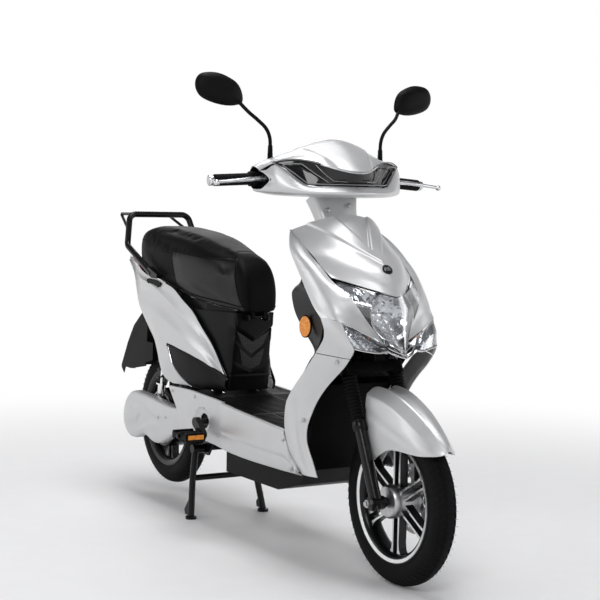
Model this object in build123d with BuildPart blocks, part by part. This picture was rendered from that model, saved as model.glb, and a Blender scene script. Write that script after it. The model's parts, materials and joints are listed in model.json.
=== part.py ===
from build123d import *
import os
from math import cos, hypot, radians, sin

# Moped scooter: an electric step-through scooter with pedals, standing on its centre stand.
# Frame: +Z up, the front wheel towards -Y, +X to the rider's left. The origin is under the middle of
# the bounding box. Side-view sketches use (distance behind the front axle, height) as their axes.

os.makedirs("parts", exist_ok=True)

# ---------------------------------------------------------------- driving dimensions (mm, degrees)
OVERALL_LENGTH = 1800
WHEELBASE = 1300
TYRE_RADIUS = 216.5
TYRE_WIDTH = 62
RIM_FLANGE_RADIUS = 160
BEAD_RADIUS = 151
RAKE = 24.5
REAR_WHEEL_LIFT = 39
FORK_HALF_SPACING = 73
HEAD_TUBE_LOW = 392
HEAD_TUBE_HIGH = 562
FLOOR_HALF_WIDTH = 138
SKIN = 3
CLEAR = 0.3
RUNNING_CLEARANCE = 0.05

BAR_RADIUS = 11
BAR_ELBOW = (110, 378, 1035)
BAR_TIP = (335, 420, 1022)
GRIP_RADIUS = 16
GRIP_START = 121
GRIP_END = 222

CRANK_BEHIND = 790
CRANK_HEIGHT = 318
CRANK_LENGTH = 50
CRANK_AXLE_RADIUS = 8
CHAIN_X = -112
CHAINRING_RADIUS = 36
SPROCKET_RADIUS = 30
CHAIN_DEPTH = 6

STAND_BEHIND = 955
STAND_HEIGHT = 208
STAND_SHAFT_RADIUS = 9
STAND_FOOT_BEHIND = 920
STAND_FOOT_HALF_SPACING = 126

SHOCK_TOP = (1190, 640)
SHOCK_BOTTOM = (1232, 322)
SHOCK_X = 82.5
SHOCK_PIN_RADIUS = 8

SEAT_HINGE = (748, 628)

# ---------------------------------------------------------------- derived places
FRONT_AXLE_Y = TYRE_RADIUS - OVERALL_LENGTH / 2
REAR_AXLE_HEIGHT = TYRE_RADIUS + REAR_WHEEL_LIFT
RAKE_SIN = sin(radians(RAKE))
RAKE_COS = cos(radians(RAKE))


# ---------------------------------------------------------------- helpers
def place(x, behind, height):
    """A point from its lateral position, its distance behind the front axle and its height."""
    return Vector(x, behind + FRONT_AXLE_Y, height)


def side(x):
    """The side-view plane at lateral position x; its axes are (behind the front axle, height)."""
    return Plane(origin=(x, FRONT_AXLE_Y, 0), x_dir=(0, 1, 0), z_dir=(1, 0, 0))


def level(height):
    """The plan-view plane at a height; its axes are (x, behind the front axle)."""
    return Plane(origin=(0, FRONT_AXLE_Y, height), x_dir=(1, 0, 0), z_dir=(0, 0, 1))


def cross_section(behind):
    """The plane square to the length; its axes are (x, height)."""
    return Plane(origin=(0, behind + FRONT_AXLE_Y, 0), x_dir=(1, 0, 0), z_dir=(0, -1, 0))


def steering(height):
    """The plane square to the steering axis, at a height along that axis above the front axle."""
    foot = place(0, height * RAKE_SIN, TYRE_RADIUS + height * RAKE_COS)
    return Plane(origin=foot, x_dir=(1, 0, 0), z_dir=(0, RAKE_SIN, RAKE_COS))


def along_bar(distance):
    """The plane square to the right end of the handlebar; its axes are (up, rearward)."""
    elbow = place(-BAR_ELBOW[0], BAR_ELBOW[1], BAR_ELBOW[2])
    tip = place(-BAR_TIP[0], BAR_TIP[1], BAR_TIP[2])
    outward = (tip - elbow).normalized()
    upward = Vector(0, 0, 1) - outward * outward.Z
    return Plane(origin=elbow + outward * distance, x_dir=upward.normalized(), z_dir=outward)


def polygon(plane, points):
    """A flat face with straight sides between the points."""
    with BuildSketch(plane) as face:
        with BuildLine():
            Polyline(*points, close=True)
        make_face()
    return face.sketch


def disc(plane, radius, centre=(0, 0)):
    """A round face."""
    with BuildSketch(plane) as face:
        with Locations(centre):
            Circle(radius)
    return face.sketch


def ring(plane, outer, inner, centre=(0, 0)):
    """A round face with a round hole."""
    with BuildSketch(plane) as face:
        with Locations(centre):
            Circle(outer)
            Circle(inner, mode=Mode.SUBTRACT)
    return face.sketch


def block(plane, width, height, centre=(0, 0), radius=0):
    """A rectangular face, with rounded corners where a radius is given."""
    with BuildSketch(plane) as face:
        with Locations(centre):
            if radius:
                RectangleRounded(width, height, radius)
            else:
                Rectangle(width, height)
    return face.sketch


def belt(plane, centre_a, radius_a, centre_b, radius_b):
    """The face inside a belt that runs round two circles."""
    with BuildSketch(plane) as face:
        with Locations(centre_a):
            Circle(radius_a)
        with Locations(centre_b):
            Circle(radius_b)
        make_hull()
    return face.sketch


def curve_band(plane, outer, thickness):
    """A face of even thickness along a polyline, grown towards its right-hand side."""
    inner = []
    for index, point in enumerate(outer):
        before = outer[max(index - 1, 0)]
        after = outer[min(index + 1, len(outer) - 1)]
        run = (after[0] - before[0], after[1] - before[1])
        length = hypot(*run)
        inner.append((point[0] + thickness * run[1] / length, point[1] - thickness * run[0] / length))
    return polygon(plane, outer + inner[::-1])


def tube(route, radius, bend):
    """A round bar along straight runs joined by arcs."""
    with BuildPart() as bar:
        with BuildLine() as path:
            if len(route) > 2:
                FilletPolyline(*route, radius=bend)
            else:
                Line(*route)
        with BuildSketch(Plane(origin=path.line @ 0, z_dir=path.line % 0)):
            Circle(radius)
        sweep()
    return bar.part


def both_sides(piece):
    """A piece and its mirror image."""
    return [piece, mirror(piece, about=Plane.YZ)]


# ---------------------------------------------------------------- main frame
RAIL_X = 60
RAIL_RADIUS = 14
RAIL_HEIGHT = 328
DOWN_TUBE_RADIUS = 17
HEAD_TUBE_RADIUS = 25
HEAD_TUBE_BORE = 21
BRACKET_SHELL_RADIUS = 22
BRACKET_SHELL_BORE = 17
BRACKET_HALF_LENGTH = 99
LUG_THICKNESS = 8

rail_route = [
    place(-RAIL_X, 262, RAIL_HEIGHT),
    place(-RAIL_X, 850, RAIL_HEIGHT),
    place(-RAIL_X, 985, 590),
    place(-RAIL_X, 1090, 650),
    place(-RAIL_X, 1314, 664),
]
down_tube_route = [place(0, 185, 580), place(0, 266, 490), place(0, 266, RAIL_HEIGHT)]
stand_lug_outline = [
    (835, 322),
    (872, 322),
    (STAND_BEHIND + 20, STAND_HEIGHT + 6),
    (STAND_BEHIND + 12, STAND_HEIGHT - 20),
    (STAND_BEHIND - 20, STAND_HEIGHT - 20),
]
shock_lug_outline = [(1178, 630), (1202, 630), (1210, 660), (1170, 660)]
rail = tube(rail_route, RAIL_RADIUS, 55)
down_tube = tube(down_tube_route, DOWN_TUBE_RADIUS, 60)

with BuildPart() as main_frame:
    extrude(disc(steering(HEAD_TUBE_LOW), HEAD_TUBE_RADIUS), amount=HEAD_TUBE_HIGH - HEAD_TUBE_LOW)
    add(down_tube)
    add(both_sides(rail))
    extrude(disc(side(-RAIL_X), 15, (262, RAIL_HEIGHT)), amount=2 * RAIL_X)
    extrude(disc(side(-RAIL_X), 12, (1090, 648)), amount=2 * RAIL_X)
    extrude(disc(side(-100), SHOCK_PIN_RADIUS, SHOCK_TOP), amount=200)
    for lug_x in (-RAIL_X - LUG_THICKNESS / 2, RAIL_X - LUG_THICKNESS / 2):
        extrude(polygon(side(lug_x), stand_lug_outline), amount=LUG_THICKNESS)
        extrude(polygon(side(lug_x), shock_lug_outline), amount=LUG_THICKNESS)
    extrude(
        disc(side(-BRACKET_HALF_LENGTH), BRACKET_SHELL_RADIUS, (CRANK_BEHIND, CRANK_HEIGHT)),
        amount=2 * BRACKET_HALF_LENGTH,
    )
    extrude(
        disc(side(-BRACKET_HALF_LENGTH), BRACKET_SHELL_BORE, (CRANK_BEHIND, CRANK_HEIGHT)),
        amount=2 * BRACKET_HALF_LENGTH,
        mode=Mode.SUBTRACT,
    )
    extrude(
        disc(steering(HEAD_TUBE_LOW), HEAD_TUBE_BORE),
        amount=HEAD_TUBE_HIGH - HEAD_TUBE_LOW,
        mode=Mode.SUBTRACT,
    )
    # the crown turns in the space below the head tube
    extrude(disc(steering(HEAD_TUBE_LOW), 40), amount=-60, mode=Mode.SUBTRACT)
    extrude(
        disc(side(-BRACKET_HALF_LENGTH), STAND_SHAFT_RADIUS + RUNNING_CLEARANCE,
             (STAND_BEHIND, STAND_HEIGHT)),
        amount=2 * BRACKET_HALF_LENGTH,
        mode=Mode.SUBTRACT,
    )

STEM_RADIUS = 15
BEARING_HEIGHT = 12
with BuildPart() as bearings:
    for bearing_low in (HEAD_TUBE_LOW, HEAD_TUBE_HIGH - BEARING_HEIGHT):
        extrude(
            ring(steering(bearing_low), HEAD_TUBE_BORE, STEM_RADIUS + RUNNING_CLEARANCE),
            amount=BEARING_HEIGHT,
        )
    for bearing_x in (-BRACKET_HALF_LENGTH, BRACKET_HALF_LENGTH - BEARING_HEIGHT):
        extrude(
            ring(
                side(bearing_x),
                BRACKET_SHELL_BORE,
                CRANK_AXLE_RADIUS + RUNNING_CLEARANCE,
                (CRANK_BEHIND, CRANK_HEIGHT),
            ),
            amount=BEARING_HEIGHT,
        )

# ---------------------------------------------------------------- steering stem, fork and front wheel
STANCHION_RADIUS = 13
LEG_RADIUS = 16
LEG_TOP = 214
CROWN_LOW = 338
CROWN_HIGH = 366
STEM_TOP = 872

with BuildPart() as steering_stem:
    extrude(block(steering(CROWN_LOW), 190, 46, radius=20), amount=CROWN_HIGH - CROWN_LOW)
    extrude(disc(steering(CROWN_HIGH), 20), amount=HEAD_TUBE_LOW - CROWN_HIGH - 1)
    extrude(disc(steering(CROWN_LOW), STEM_RADIUS), amount=STEM_TOP - CROWN_LOW)
    extrude(disc(steering(HEAD_TUBE_HIGH + 1), 20), amount=14)
    for leg_x in (-FORK_HALF_SPACING, FORK_HALF_SPACING):
        extrude(disc(steering(95), STANCHION_RADIUS, (leg_x, 0)), amount=CROWN_HIGH + 8 - 95)
    # clamp under the handlebar
    extrude(block(steering(STEM_TOP - 24), 60, 44, radius=8), amount=24)

GAITER_LOW = LEG_TOP + 3
GAITER_HIGH = CROWN_LOW - 3
GAITER_RIBS = 11
rib_pitch = (GAITER_HIGH - GAITER_LOW) / GAITER_RIBS
with BuildPart() as fork_gaiters:
    for leg_x in (-FORK_HALF_SPACING, FORK_HALF_SPACING):
        extrude(ring(steering(GAITER_LOW), 15.5, 13.5, (leg_x, 0)), amount=GAITER_HIGH - GAITER_LOW)
        for rib in range(GAITER_RIBS):
            rib_radius = 17.5 + 3 * rib / GAITER_RIBS
            extrude(
                ring(steering(GAITER_LOW + (rib + 0.25) * rib_pitch), rib_radius, 14.5, (leg_x, 0)),
                amount=rib_pitch / 2,
            )

AXLE_RADIUS = 6
HUB_HALF_WIDTH = 48
with BuildPart() as fork_legs:
    for leg_x in (-FORK_HALF_SPACING, FORK_HALF_SPACING):
        extrude(disc(steering(-18), LEG_RADIUS, (leg_x, 0)), amount=LEG_TOP + 18)
        extrude(disc(steering(LEG_TOP - 26), LEG_RADIUS + 2, (leg_x, 0)), amount=26)
        extrude(
            disc(steering(24), STANCHION_RADIUS + RUNNING_CLEARANCE, (leg_x, 0)),
            amount=LEG_TOP,
            mode=Mode.SUBTRACT,
        )
    for boss_x in (-FORK_HALF_SPACING - 20, FORK_HALF_SPACING - 20):
        extrude(disc(side(boss_x), 17, (0, TYRE_RADIUS)), amount=40)
    extrude(disc(side(-110), AXLE_RADIUS, (0, TYRE_RADIUS)), amount=220, mode=Mode.SUBTRACT)

with BuildPart() as front_axle:
    extrude(disc(side(-108), AXLE_RADIUS, (0, TYRE_RADIUS)), amount=216)
    for nut_x in (-103, 93):
        with BuildSketch(side(nut_x)):
            with Locations((0, TYRE_RADIUS)):
                RegularPolygon(11, 6)
        extrude(amount=10)


def tyre(behind, height):
    """A treaded tyre as a ring of revolution with shallow tread blocks round it."""
    crown = TYRE_RADIUS - 3
    half = TYRE_WIDTH / 2
    with BuildPart() as casing:
        with BuildSketch(Plane(origin=place(0, behind, height), x_dir=(1, 0, 0), z_dir=(0, -1, 0))):
            with BuildLine():
                Polyline((-24.8, BEAD_RADIUS), (-24.8, RIM_FLANGE_RADIUS + 1.5), (-half, BEAD_RADIUS + 28))
                ThreePointArc((-half, BEAD_RADIUS + 28), (0, crown), (half, BEAD_RADIUS + 28))
                Polyline((half, BEAD_RADIUS + 28), (24.8, RIM_FLANGE_RADIUS + 1.5), (24.8, BEAD_RADIUS),
                         (19, BEAD_RADIUS), (21, BEAD_RADIUS + 17))
                ThreePointArc((21, BEAD_RADIUS + 17), (0, crown - 10), (-21, BEAD_RADIUS + 17))
                Polyline((-21, BEAD_RADIUS + 17), (-19, BEAD_RADIUS), (-24.8, BEAD_RADIUS))
            make_face()
        revolve(axis=Axis(place(0, behind, height), (1, 0, 0)))
        # continuous centre rib of the tread
        extrude(ring(side(-7), TYRE_RADIUS, crown - 8, (behind, height)), amount=14)
    return casing.part


SPOKE_PAIRS = 6


def cast_wheel(behind, height, hub_radius, hub_half_width, bore_radius):
    """A cast rim with six double spokes round a hub."""
    centre = (behind, height)
    with BuildPart() as wheel:
        extrude(ring(side(-25), BEAD_RADIUS - 0.2, 132, centre), amount=50)
        for flange_x in (-29, 25):
            extrude(ring(side(flange_x), RIM_FLANGE_RADIUS, 136, centre), amount=4)
        extrude(disc(side(-hub_half_width), hub_radius, centre), amount=2 * hub_half_width)
        with BuildSketch(side(-11)):
            with Locations(centre):
                with PolarLocations(0, SPOKE_PAIRS, start_angle=90):
                    with Locations(((134 + hub_radius) / 2, 11), ((134 + hub_radius) / 2, -11)):
                        Rectangle(134 - hub_radius + 14, 11)
        extrude(amount=22)
        extrude(disc(side(-60), bore_radius, centre), amount=120, mode=Mode.SUBTRACT)
    return wheel.part


front_casting = cast_wheel(0, TYRE_RADIUS, 34, 40, AXLE_RADIUS + RUNNING_CLEARANCE)
with BuildPart() as front_rim:
    add(front_casting)
    # valve stem through the rim bed
    extrude(disc(Plane(origin=place(0, 0, TYRE_RADIUS - 118), z_dir=(0, 0, -1)), 3.5), amount=16)

with BuildPart() as front_tyre:
    add(tyre(0, TYRE_RADIUS))

DISC_X = 42
with BuildPart() as brake_disc:
    with BuildSketch(side(DISC_X)):
        with Locations((0, TYRE_RADIUS)):
            Circle(90)
            Circle(62, mode=Mode.SUBTRACT)
            with PolarLocations(76, 18):
                Circle(4, mode=Mode.SUBTRACT)
    extrude(amount=3)
    with BuildSketch(side(DISC_X)):
        with Locations((0, TYRE_RADIUS)):
            with PolarLocations(46, 6):
                Rectangle(40, 12)
            Circle(33)
            Circle(7, mode=Mode.SUBTRACT)
    extrude(amount=3)
    with BuildSketch(side(40 + 0.05)):
        with Locations((0, TYRE_RADIUS)):
            Circle(30)
            Circle(7, mode=Mode.SUBTRACT)
    extrude(amount=DISC_X - 40 - 0.05)

CALIPER_CENTRE = (-34, 290)
with BuildPart() as brake_caliper:
    with BuildSketch(side(34)):
        with Locations(CALIPER_CENTRE):
            RectangleRounded(46, 50, 8)
    extrude(amount=30)
    # slot for the disc
    extrude(disc(side(DISC_X - 2), 92, (0, TYRE_RADIUS)), amount=7, mode=Mode.SUBTRACT)
    # bracket from the caliper back to the fork leg
    extrude(polygon(side(57), [(-40, 300), (-34, 272), (26, 300), (46, 322), (30, 334)]), amount=7)
    extrude(disc(steering(-18), LEG_RADIUS, (FORK_HALF_SPACING, 0)), amount=LEG_TOP + 18, mode=Mode.SUBTRACT)

# front fender: a beak that covers the top of the wheel, fixed to the fork legs
fender_ribs = [
    # behind, half width at the edge, edge height, shoulder half width, shoulder height, crest height
    (78, 52, 400, 44, 470, 500),
    (52, 54, 318, 45, 470, 501),
    (0, 54, 345, 44, 462, 494),
    (-50, 53, 356, 42, 446, 478),
    (-100, 50, 356, 38, 422, 454),
    (-150, 42, 358, 30, 394, 420),
    (-200, 16, 362, 10, 368, 376),
]


def fender_section(rib, inset):
    behind, edge_half, edge_z, shoulder_half, shoulder_z, crest_z = rib
    outer = [
        (-edge_half + inset, edge_z),
        (-shoulder_half + inset, shoulder_z - inset),
        (0, crest_z - inset),
        (shoulder_half - inset, shoulder_z - inset),
        (edge_half - inset, edge_z),
    ]
    return polygon(cross_section(behind), outer)


with BuildPart() as front_fender:
    loft(sections=[fender_section(rib, 0) for rib in fender_ribs], ruled=True)
    loft(sections=[fender_section(rib, SKIN) for rib in fender_ribs], ruled=True, mode=Mode.SUBTRACT)
    # stays from the fender sides to the fork legs
    for stay_x in (-58, 50):
        extrude(polygon(side(stay_x), [(44, 400), (60, 352), (74, 352), (92, 400)]), amount=8)
    for leg_x in (-FORK_HALF_SPACING, FORK_HALF_SPACING):
        extrude(disc(steering(-18), LEG_RADIUS, (leg_x, 0)), amount=LEG_TOP + 18, mode=Mode.SUBTRACT)
        extrude(disc(steering(LEG_TOP - 30), LEG_RADIUS + 2 + CLEAR, (leg_x, 0)), amount=30 + CLEAR,
                mode=Mode.SUBTRACT)

# ---------------------------------------------------------------- handlebar and controls
BAR_LENGTH = (place(*BAR_TIP) - place(*BAR_ELBOW)).length
bar_middle = [
    place(-BAR_TIP[0], BAR_TIP[1], BAR_TIP[2]),
    place(-BAR_ELBOW[0], BAR_ELBOW[1], BAR_ELBOW[2]),
    place(BAR_ELBOW[0], BAR_ELBOW[1], BAR_ELBOW[2]),
    place(BAR_TIP[0], BAR_TIP[1], BAR_TIP[2]),
]
handlebar_tube = tube(bar_middle, BAR_RADIUS, 60)

with BuildPart() as bar_end:
    extrude(disc(along_bar(BAR_LENGTH - 5), 14), amount=14)
    fillet(bar_end.edges().filter_by(GeomType.CIRCLE), 3)
    extrude(disc(along_bar(BAR_LENGTH - 8), BAR_RADIUS), amount=8, mode=Mode.SUBTRACT)

with BuildPart() as handlebar:
    add(handlebar_tube)
    add(both_sides(bar_end.part))
    extrude(block(steering(STEM_TOP), 60, 44, radius=8), amount=34)

with BuildPart() as throttle_grip:
    extrude(ring(along_bar(GRIP_START), GRIP_RADIUS, BAR_RADIUS + RUNNING_CLEARANCE),
            amount=GRIP_END - GRIP_START)
    extrude(ring(along_bar(GRIP_START), GRIP_RADIUS + 4, BAR_RADIUS + RUNNING_CLEARANCE), amount=4)

with BuildPart() as left_grip_on_right:
    extrude(ring(along_bar(GRIP_START), GRIP_RADIUS, BAR_RADIUS), amount=GRIP_END - GRIP_START)
    extrude(ring(along_bar(GRIP_START), GRIP_RADIUS + 4, BAR_RADIUS), amount=4)
with BuildPart() as left_grip:
    mirror(left_grip_on_right.part, about=Plane.YZ)

HOUSING_START = 76
HOUSING_LENGTH = 44
LEVER_PIVOT_DISTANCE = 90
LEVER_PIVOT_FORWARD = 36
LEVER_THICKNESS = 8
lever_plane = Plane(
    origin=along_bar(LEVER_PIVOT_DISTANCE).from_local_coords(Vector(0, -LEVER_PIVOT_FORWARD, 0)),
    x_dir=along_bar(0).z_dir,
    z_dir=along_bar(0).x_dir,
)

with BuildPart() as housing_right:
    extrude(block(along_bar(HOUSING_START), 40, 36, radius=9), amount=HOUSING_LENGTH)
    # perch that carries the lever
    extrude(block(lever_plane.offset(-10), 26, 36, (0, -12), 6), amount=20)
    extrude(block(lever_plane.offset(-LEVER_THICKNESS / 2 - CLEAR), 60, 34, (8, 2)),
            amount=LEVER_THICKNESS + 2 * CLEAR, mode=Mode.SUBTRACT)
    # lever pin
    extrude(disc(lever_plane.offset(-10), 3), amount=20)
    extrude(disc(along_bar(HOUSING_START), BAR_RADIUS), amount=HOUSING_LENGTH, mode=Mode.SUBTRACT)

BUTTON_RADIUS = 5
BUTTON_DEPTH = 8
switch_plane = Plane(
    origin=along_bar(HOUSING_START + 12).from_local_coords(Vector(-6, 18, 0)),
    x_dir=along_bar(0).z_dir,
    z_dir=along_bar(0).y_dir,
)
with BuildPart() as housing_left_on_right:
    add(housing_right.part)
    extrude(disc(switch_plane, BUTTON_RADIUS + CLEAR), amount=-BUTTON_DEPTH, mode=Mode.SUBTRACT)
    extrude(block(switch_plane, 18, 8 + 2 * CLEAR, (18, 10)), amount=-6, mode=Mode.SUBTRACT)

with BuildPart() as switch_housings:
    add(housing_right.part)
    mirror(housing_left_on_right.part, about=Plane.YZ)

with BuildPart() as horn_button_on_right:
    extrude(disc(switch_plane.offset(-4), BUTTON_RADIUS), amount=8)
with BuildPart() as horn_button:
    mirror(horn_button_on_right.part, about=Plane.YZ)

with BuildPart() as turn_switch_on_right:
    extrude(block(switch_plane.offset(-5), 8, 8, (18, 10)), amount=10)
with BuildPart() as turn_switch:
    mirror(turn_switch_on_right.part, about=Plane.YZ)

LEVER_REACH = 146
lever_ball = lever_plane.from_local_coords(Vector(LEVER_REACH, 35, 0))
with BuildPart() as brake_lever_right:
    blade = [(-9, 8), (-9, -7), (16, -6), (46, 14), (LEVER_REACH, 30), (LEVER_REACH, 40), (42, 26), (12, 9)]
    extrude(polygon(lever_plane.offset(-LEVER_THICKNESS / 2), blade), amount=LEVER_THICKNESS)
    with BuildSketch(Plane(origin=lever_ball, x_dir=lever_plane.x_dir, z_dir=lever_plane.z_dir)):
        with BuildLine():
            CenterArc((0, 0), 8, 0, 180)
            Line((-8, 0), (8, 0))
        make_face()
    revolve(axis=Axis(lever_ball, lever_plane.x_dir))
    extrude(disc(lever_plane.offset(-10), 3 + RUNNING_CLEARANCE), amount=20, mode=Mode.SUBTRACT)
with BuildPart() as brake_lever_left:
    mirror(brake_lever_right.part, about=Plane.YZ)

# mirrors: a stem from the housing, a bend outwards and a teardrop head with its glass
MIRROR_X = 177
MIRROR_BEHIND = 386
MIRROR_BASE = 1062
MIRROR_HEAD = (-311, 424, 1264)
mirror_stem_route = [
    place(-MIRROR_X, MIRROR_BEHIND, MIRROR_BASE),
    place(-MIRROR_X, MIRROR_BEHIND, 1158),
    place(-236, 402, 1205),
    place(-262, 420, 1236),
]
mirror_stem = tube(mirror_stem_route, 5, 20)
mirror_plane = Plane(origin=place(*MIRROR_HEAD), x_dir=Vector(-0.99, 0.09, 0.1).normalized(),
                     z_dir=Vector(0.085, 0.985, -0.05).cross(Vector(-0.99, 0.09, 0.1)).cross(
                         Vector(-0.99, 0.09, 0.1)).normalized() * -1)


def mirror_outline(plane, inset):
    """The teardrop outline of the mirror head, narrow towards the stem."""
    with BuildSketch(plane) as face:
        with BuildLine():
            Spline((-68 + inset, -26), (-48, 22 - inset), (10, 41 - inset), (60, 30 - inset), (70 - inset, 0),
                   (46, -32 + inset), (-20, -42 + inset), (-68 + inset, -26))
        make_face()
    return face.sketch


with BuildPart() as mirror_shell:
    loft(sections=[mirror_outline(mirror_plane.offset(-16), 14), mirror_outline(mirror_plane.offset(-6), 3),
                   mirror_outline(mirror_plane.offset(4), 0)], ruled=True)
    extrude(mirror_outline(mirror_plane.offset(1), 4), amount=3, mode=Mode.SUBTRACT)

with BuildPart() as mirror_right:
    add(mirror_shell.part)
    add(mirror_stem)
    extrude(disc(level(MIRROR_BASE), 8, (-MIRROR_X, MIRROR_BEHIND)), amount=58)
    extrude(mirror_outline(mirror_plane.offset(1), 4.3), amount=2.4)
with BuildPart() as mirror_left:
    mirror(mirror_right.part, about=Plane.YZ)

# ---------------------------------------------------------------- handlebar cowl and neck
# outline of the painted top shell at three lateral positions, nose first
cowl_top_profiles = [
    (0, [(218, 1050), (262, 1088), (318, 1124), (359, 1141), (402, 1126)]),
    (110, [(240, 1052), (282, 1082), (332, 1106), (372, 1113), (410, 1100)]),
    (222, [(346, 1060), (358, 1067), (374, 1071), (392, 1069), (404, 1062)]),
]
cowl_window_profiles = [
    (0, [(238, 1016), (220, 1046)]),
    (110, [(262, 1018), (244, 1047)]),
    (200, [(333, 1040), (328, 1052)]),
]
cowl_rear_profiles = [
    (0, [(234, 1011), (256, 996), (310, 990), (395, 984), (440, 1008), (448, 1060), (408, 1120)]),
    (110, [(258, 1012), (276, 999), (325, 992), (398, 990), (436, 1010), (443, 1055), (414, 1096)]),
    (222, [(338, 1052), (338, 1024), (352, 1003), (394, 1001), (420, 1014), (424, 1044), (409, 1058)]),
]


def mirrored_profiles(profiles):
    return [(-x, points) for x, points in profiles[:0:-1]] + profiles


with BuildPart() as cowl_front:
    loft(sections=[curve_band(side(x), points, SKIN) for x, points in mirrored_profiles(cowl_top_profiles)],
         ruled=True)
    # openings for the mirror stems
    for stem_x in (-MIRROR_X, MIRROR_X):
        extrude(disc(level(1000), 10.5, (stem_x, MIRROR_BEHIND)), amount=150, mode=Mode.SUBTRACT)

with BuildPart() as cowl_window:
    loft(sections=[curve_band(side(x), points, SKIN) for x, points in mirrored_profiles(cowl_window_profiles)],
         ruled=True)

with BuildPart() as cowl_rear:
    loft(sections=[curve_band(side(x), points, -SKIN) for x, points in mirrored_profiles(cowl_rear_profiles)],
         ruled=True)
    extrude(block(steering(700), 66, 50, radius=8), amount=200, mode=Mode.SUBTRACT)
    # notches that leave the switches within reach of the thumbs
    switch_notch = extrude(block(along_bar(64), 48, 44, (0, 30)), amount=80, mode=Mode.PRIVATE)
    add(both_sides(switch_notch), mode=Mode.SUBTRACT)
    perch_room = extrude(block(lever_plane.offset(-12), 36, 46, (0, -10)), amount=24, mode=Mode.PRIVATE)
    add(both_sides(perch_room), mode=Mode.SUBTRACT)
    housing_face = block(along_bar(HOUSING_START - 1), 42, 38)
    housing_room = extrude(housing_face, amount=HOUSING_LENGTH, mode=Mode.PRIVATE)
    add(both_sides(housing_room), mode=Mode.SUBTRACT)

NECK_LOW = 786
NECK_HIGH = 828
with BuildPart() as neck_cover:
    loft(
        sections=[block(steering(NECK_LOW), 122, 56, radius=14), block(steering(NECK_HIGH), 148, 62, radius=14)],
        ruled=True,
    )
    loft(
        sections=[block(steering(NECK_LOW), 116, 50, radius=11), block(steering(NECK_HIGH), 142, 56, radius=11)],
        ruled=True,
        mode=Mode.SUBTRACT,
    )
    # web that clamps the cover to the stem
    extrude(block(steering(NECK_LOW + 12), 124, 12), amount=8)
    extrude(disc(steering(NECK_LOW), STEM_RADIUS), amount=60, mode=Mode.SUBTRACT)

# ---------------------------------------------------------------- leg shield, front cover and headlight
# height, half width and place of the front edge, half width and place of the rear edge
shield_levels = [
    (255, 140, 176, 150, 231),
    (300, 146, 196, 158, 280),
    (357, 149, 219, 160, 310),
    (430, 147, 187, 160, 313),
    (467, 143, 158, 160, 288),
    (503, 138, 131, 160, 249),
    (553, 133, 76, 162, 194),
    (590, 128, 36, 162, 155),
    (606, 127, 35, 163, 138),
    (642, 128, 59, 165, 117),
    (676, 128, 82, 168, 128),
    (707, 128, 103, 170, 164),
    (773, 129, 149, 170, 221),
    (843, 137, 253, 165, 288),
    (898, 141, 330, 150, 337),
]


def shield_section(height, front_half, front_behind, rear_half, rear_behind):
    middle_half = front_half + 0.66 * (rear_half - front_half)
    middle_behind = (front_behind + rear_behind) / 2
    outer = [(-front_half, front_behind), (-middle_half, middle_behind), (-rear_half, rear_behind)]
    inner = [(x + SKIN, behind + 0.5) for x, behind in outer]
    return polygon(level(height), outer + inner[::-1])


with BuildPart() as shield_right:
    loft(sections=[shield_section(*row) for row in shield_levels], ruled=True)
with BuildPart() as leg_shield:
    add(both_sides(shield_right.part))

# height, half width, place of the side edge, place of the centre line
cover_levels = [
    (748, 50, 80, 44),
    (772, 123, 145, 62),
    (832, 132, 232, 146),
    (894, 136, 340, 212),
    (924, 40, 285, 242),
]


def front_arch(height, half, side_behind, centre_behind, depth=0.0):
    """Points across the front from right to left, bulging forwards."""
    middle = centre_behind + 0.2 * (side_behind - centre_behind)
    return [
        (-half, side_behind + depth),
        (-0.55 * half, middle + depth),
        (0, centre_behind + depth),
        (0.55 * half, middle + depth),
        (half, side_behind + depth),
    ]


def arch_section(row, depth, thickness):
    height = row[0]
    return polygon(level(height), front_arch(*row, depth) + front_arch(*row, depth + thickness)[::-1])


with BuildPart() as front_cover:
    loft(sections=[arch_section(row, 0, SKIN + 1) for row in cover_levels], ruled=True)

lens_levels = [
    (584, 12, -8, -12),
    (607, 122, 34, -5),
    (650, 123, 63, 9),
    (700, 123, 97, 26),
    (742, 123, 126, 39),
]
with BuildPart() as headlight_lens:
    loft(sections=[arch_section(row, 0, SKIN) for row in lens_levels], ruled=True)

bowl_levels = [(612, 112, 42, 2), (650, 113, 64, 15), (700, 113, 97, 31), (738, 113, 122, 44)]


def bowl_section(row, inset):
    height, half, side_behind, centre_behind = row
    back = min(centre_behind + 78, 108)
    front = front_arch(height, half - inset, side_behind, centre_behind, -inset * 2)
    rear = [(0.55 * half - inset, back - inset), (-0.55 * half + inset, back - inset)]
    return polygon(level(height), front + rear)


with BuildPart() as bowl_hollow:
    loft(sections=[bowl_section(row, SKIN) for row in bowl_levels], ruled=True)
    split(bisect_by=Plane.XY.offset(bowl_levels[0][0] + SKIN), keep=Keep.TOP)
    split(bisect_by=Plane.XY.offset(bowl_levels[-1][0] - SKIN), keep=Keep.BOTTOM)

with BuildPart() as headlight_housing:
    loft(sections=[bowl_section(row, 0) for row in bowl_levels], ruled=True)
    add(bowl_hollow.part, mode=Mode.SUBTRACT)
    # lamp body in the middle of the reflector
    extrude(disc(cross_section(100), 30, (0, 672)), amount=34)

# dark inner shield: height, half width and place of its front edge, of its rear corner, of its middle
inner_levels = [
    (372, 132, 296, 110, 322, 326),
    (450, 150, 288, 118, 300, 306),
    (520, 152, 226, 118, 286, 302),
    (589, 154, 164, 128, 225, 300),
    (634, 156, 130, 138, 261, 312),
    (679, 158, 142, 148, 287, 322),
    (736, 160, 200, 148, 309, 332),
    (773, 160, 228, 148, 276, 338),
    (843, 154, 292, 138, 330, 356),
    (890, 142, 338, 116, 366, 380),
]


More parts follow.
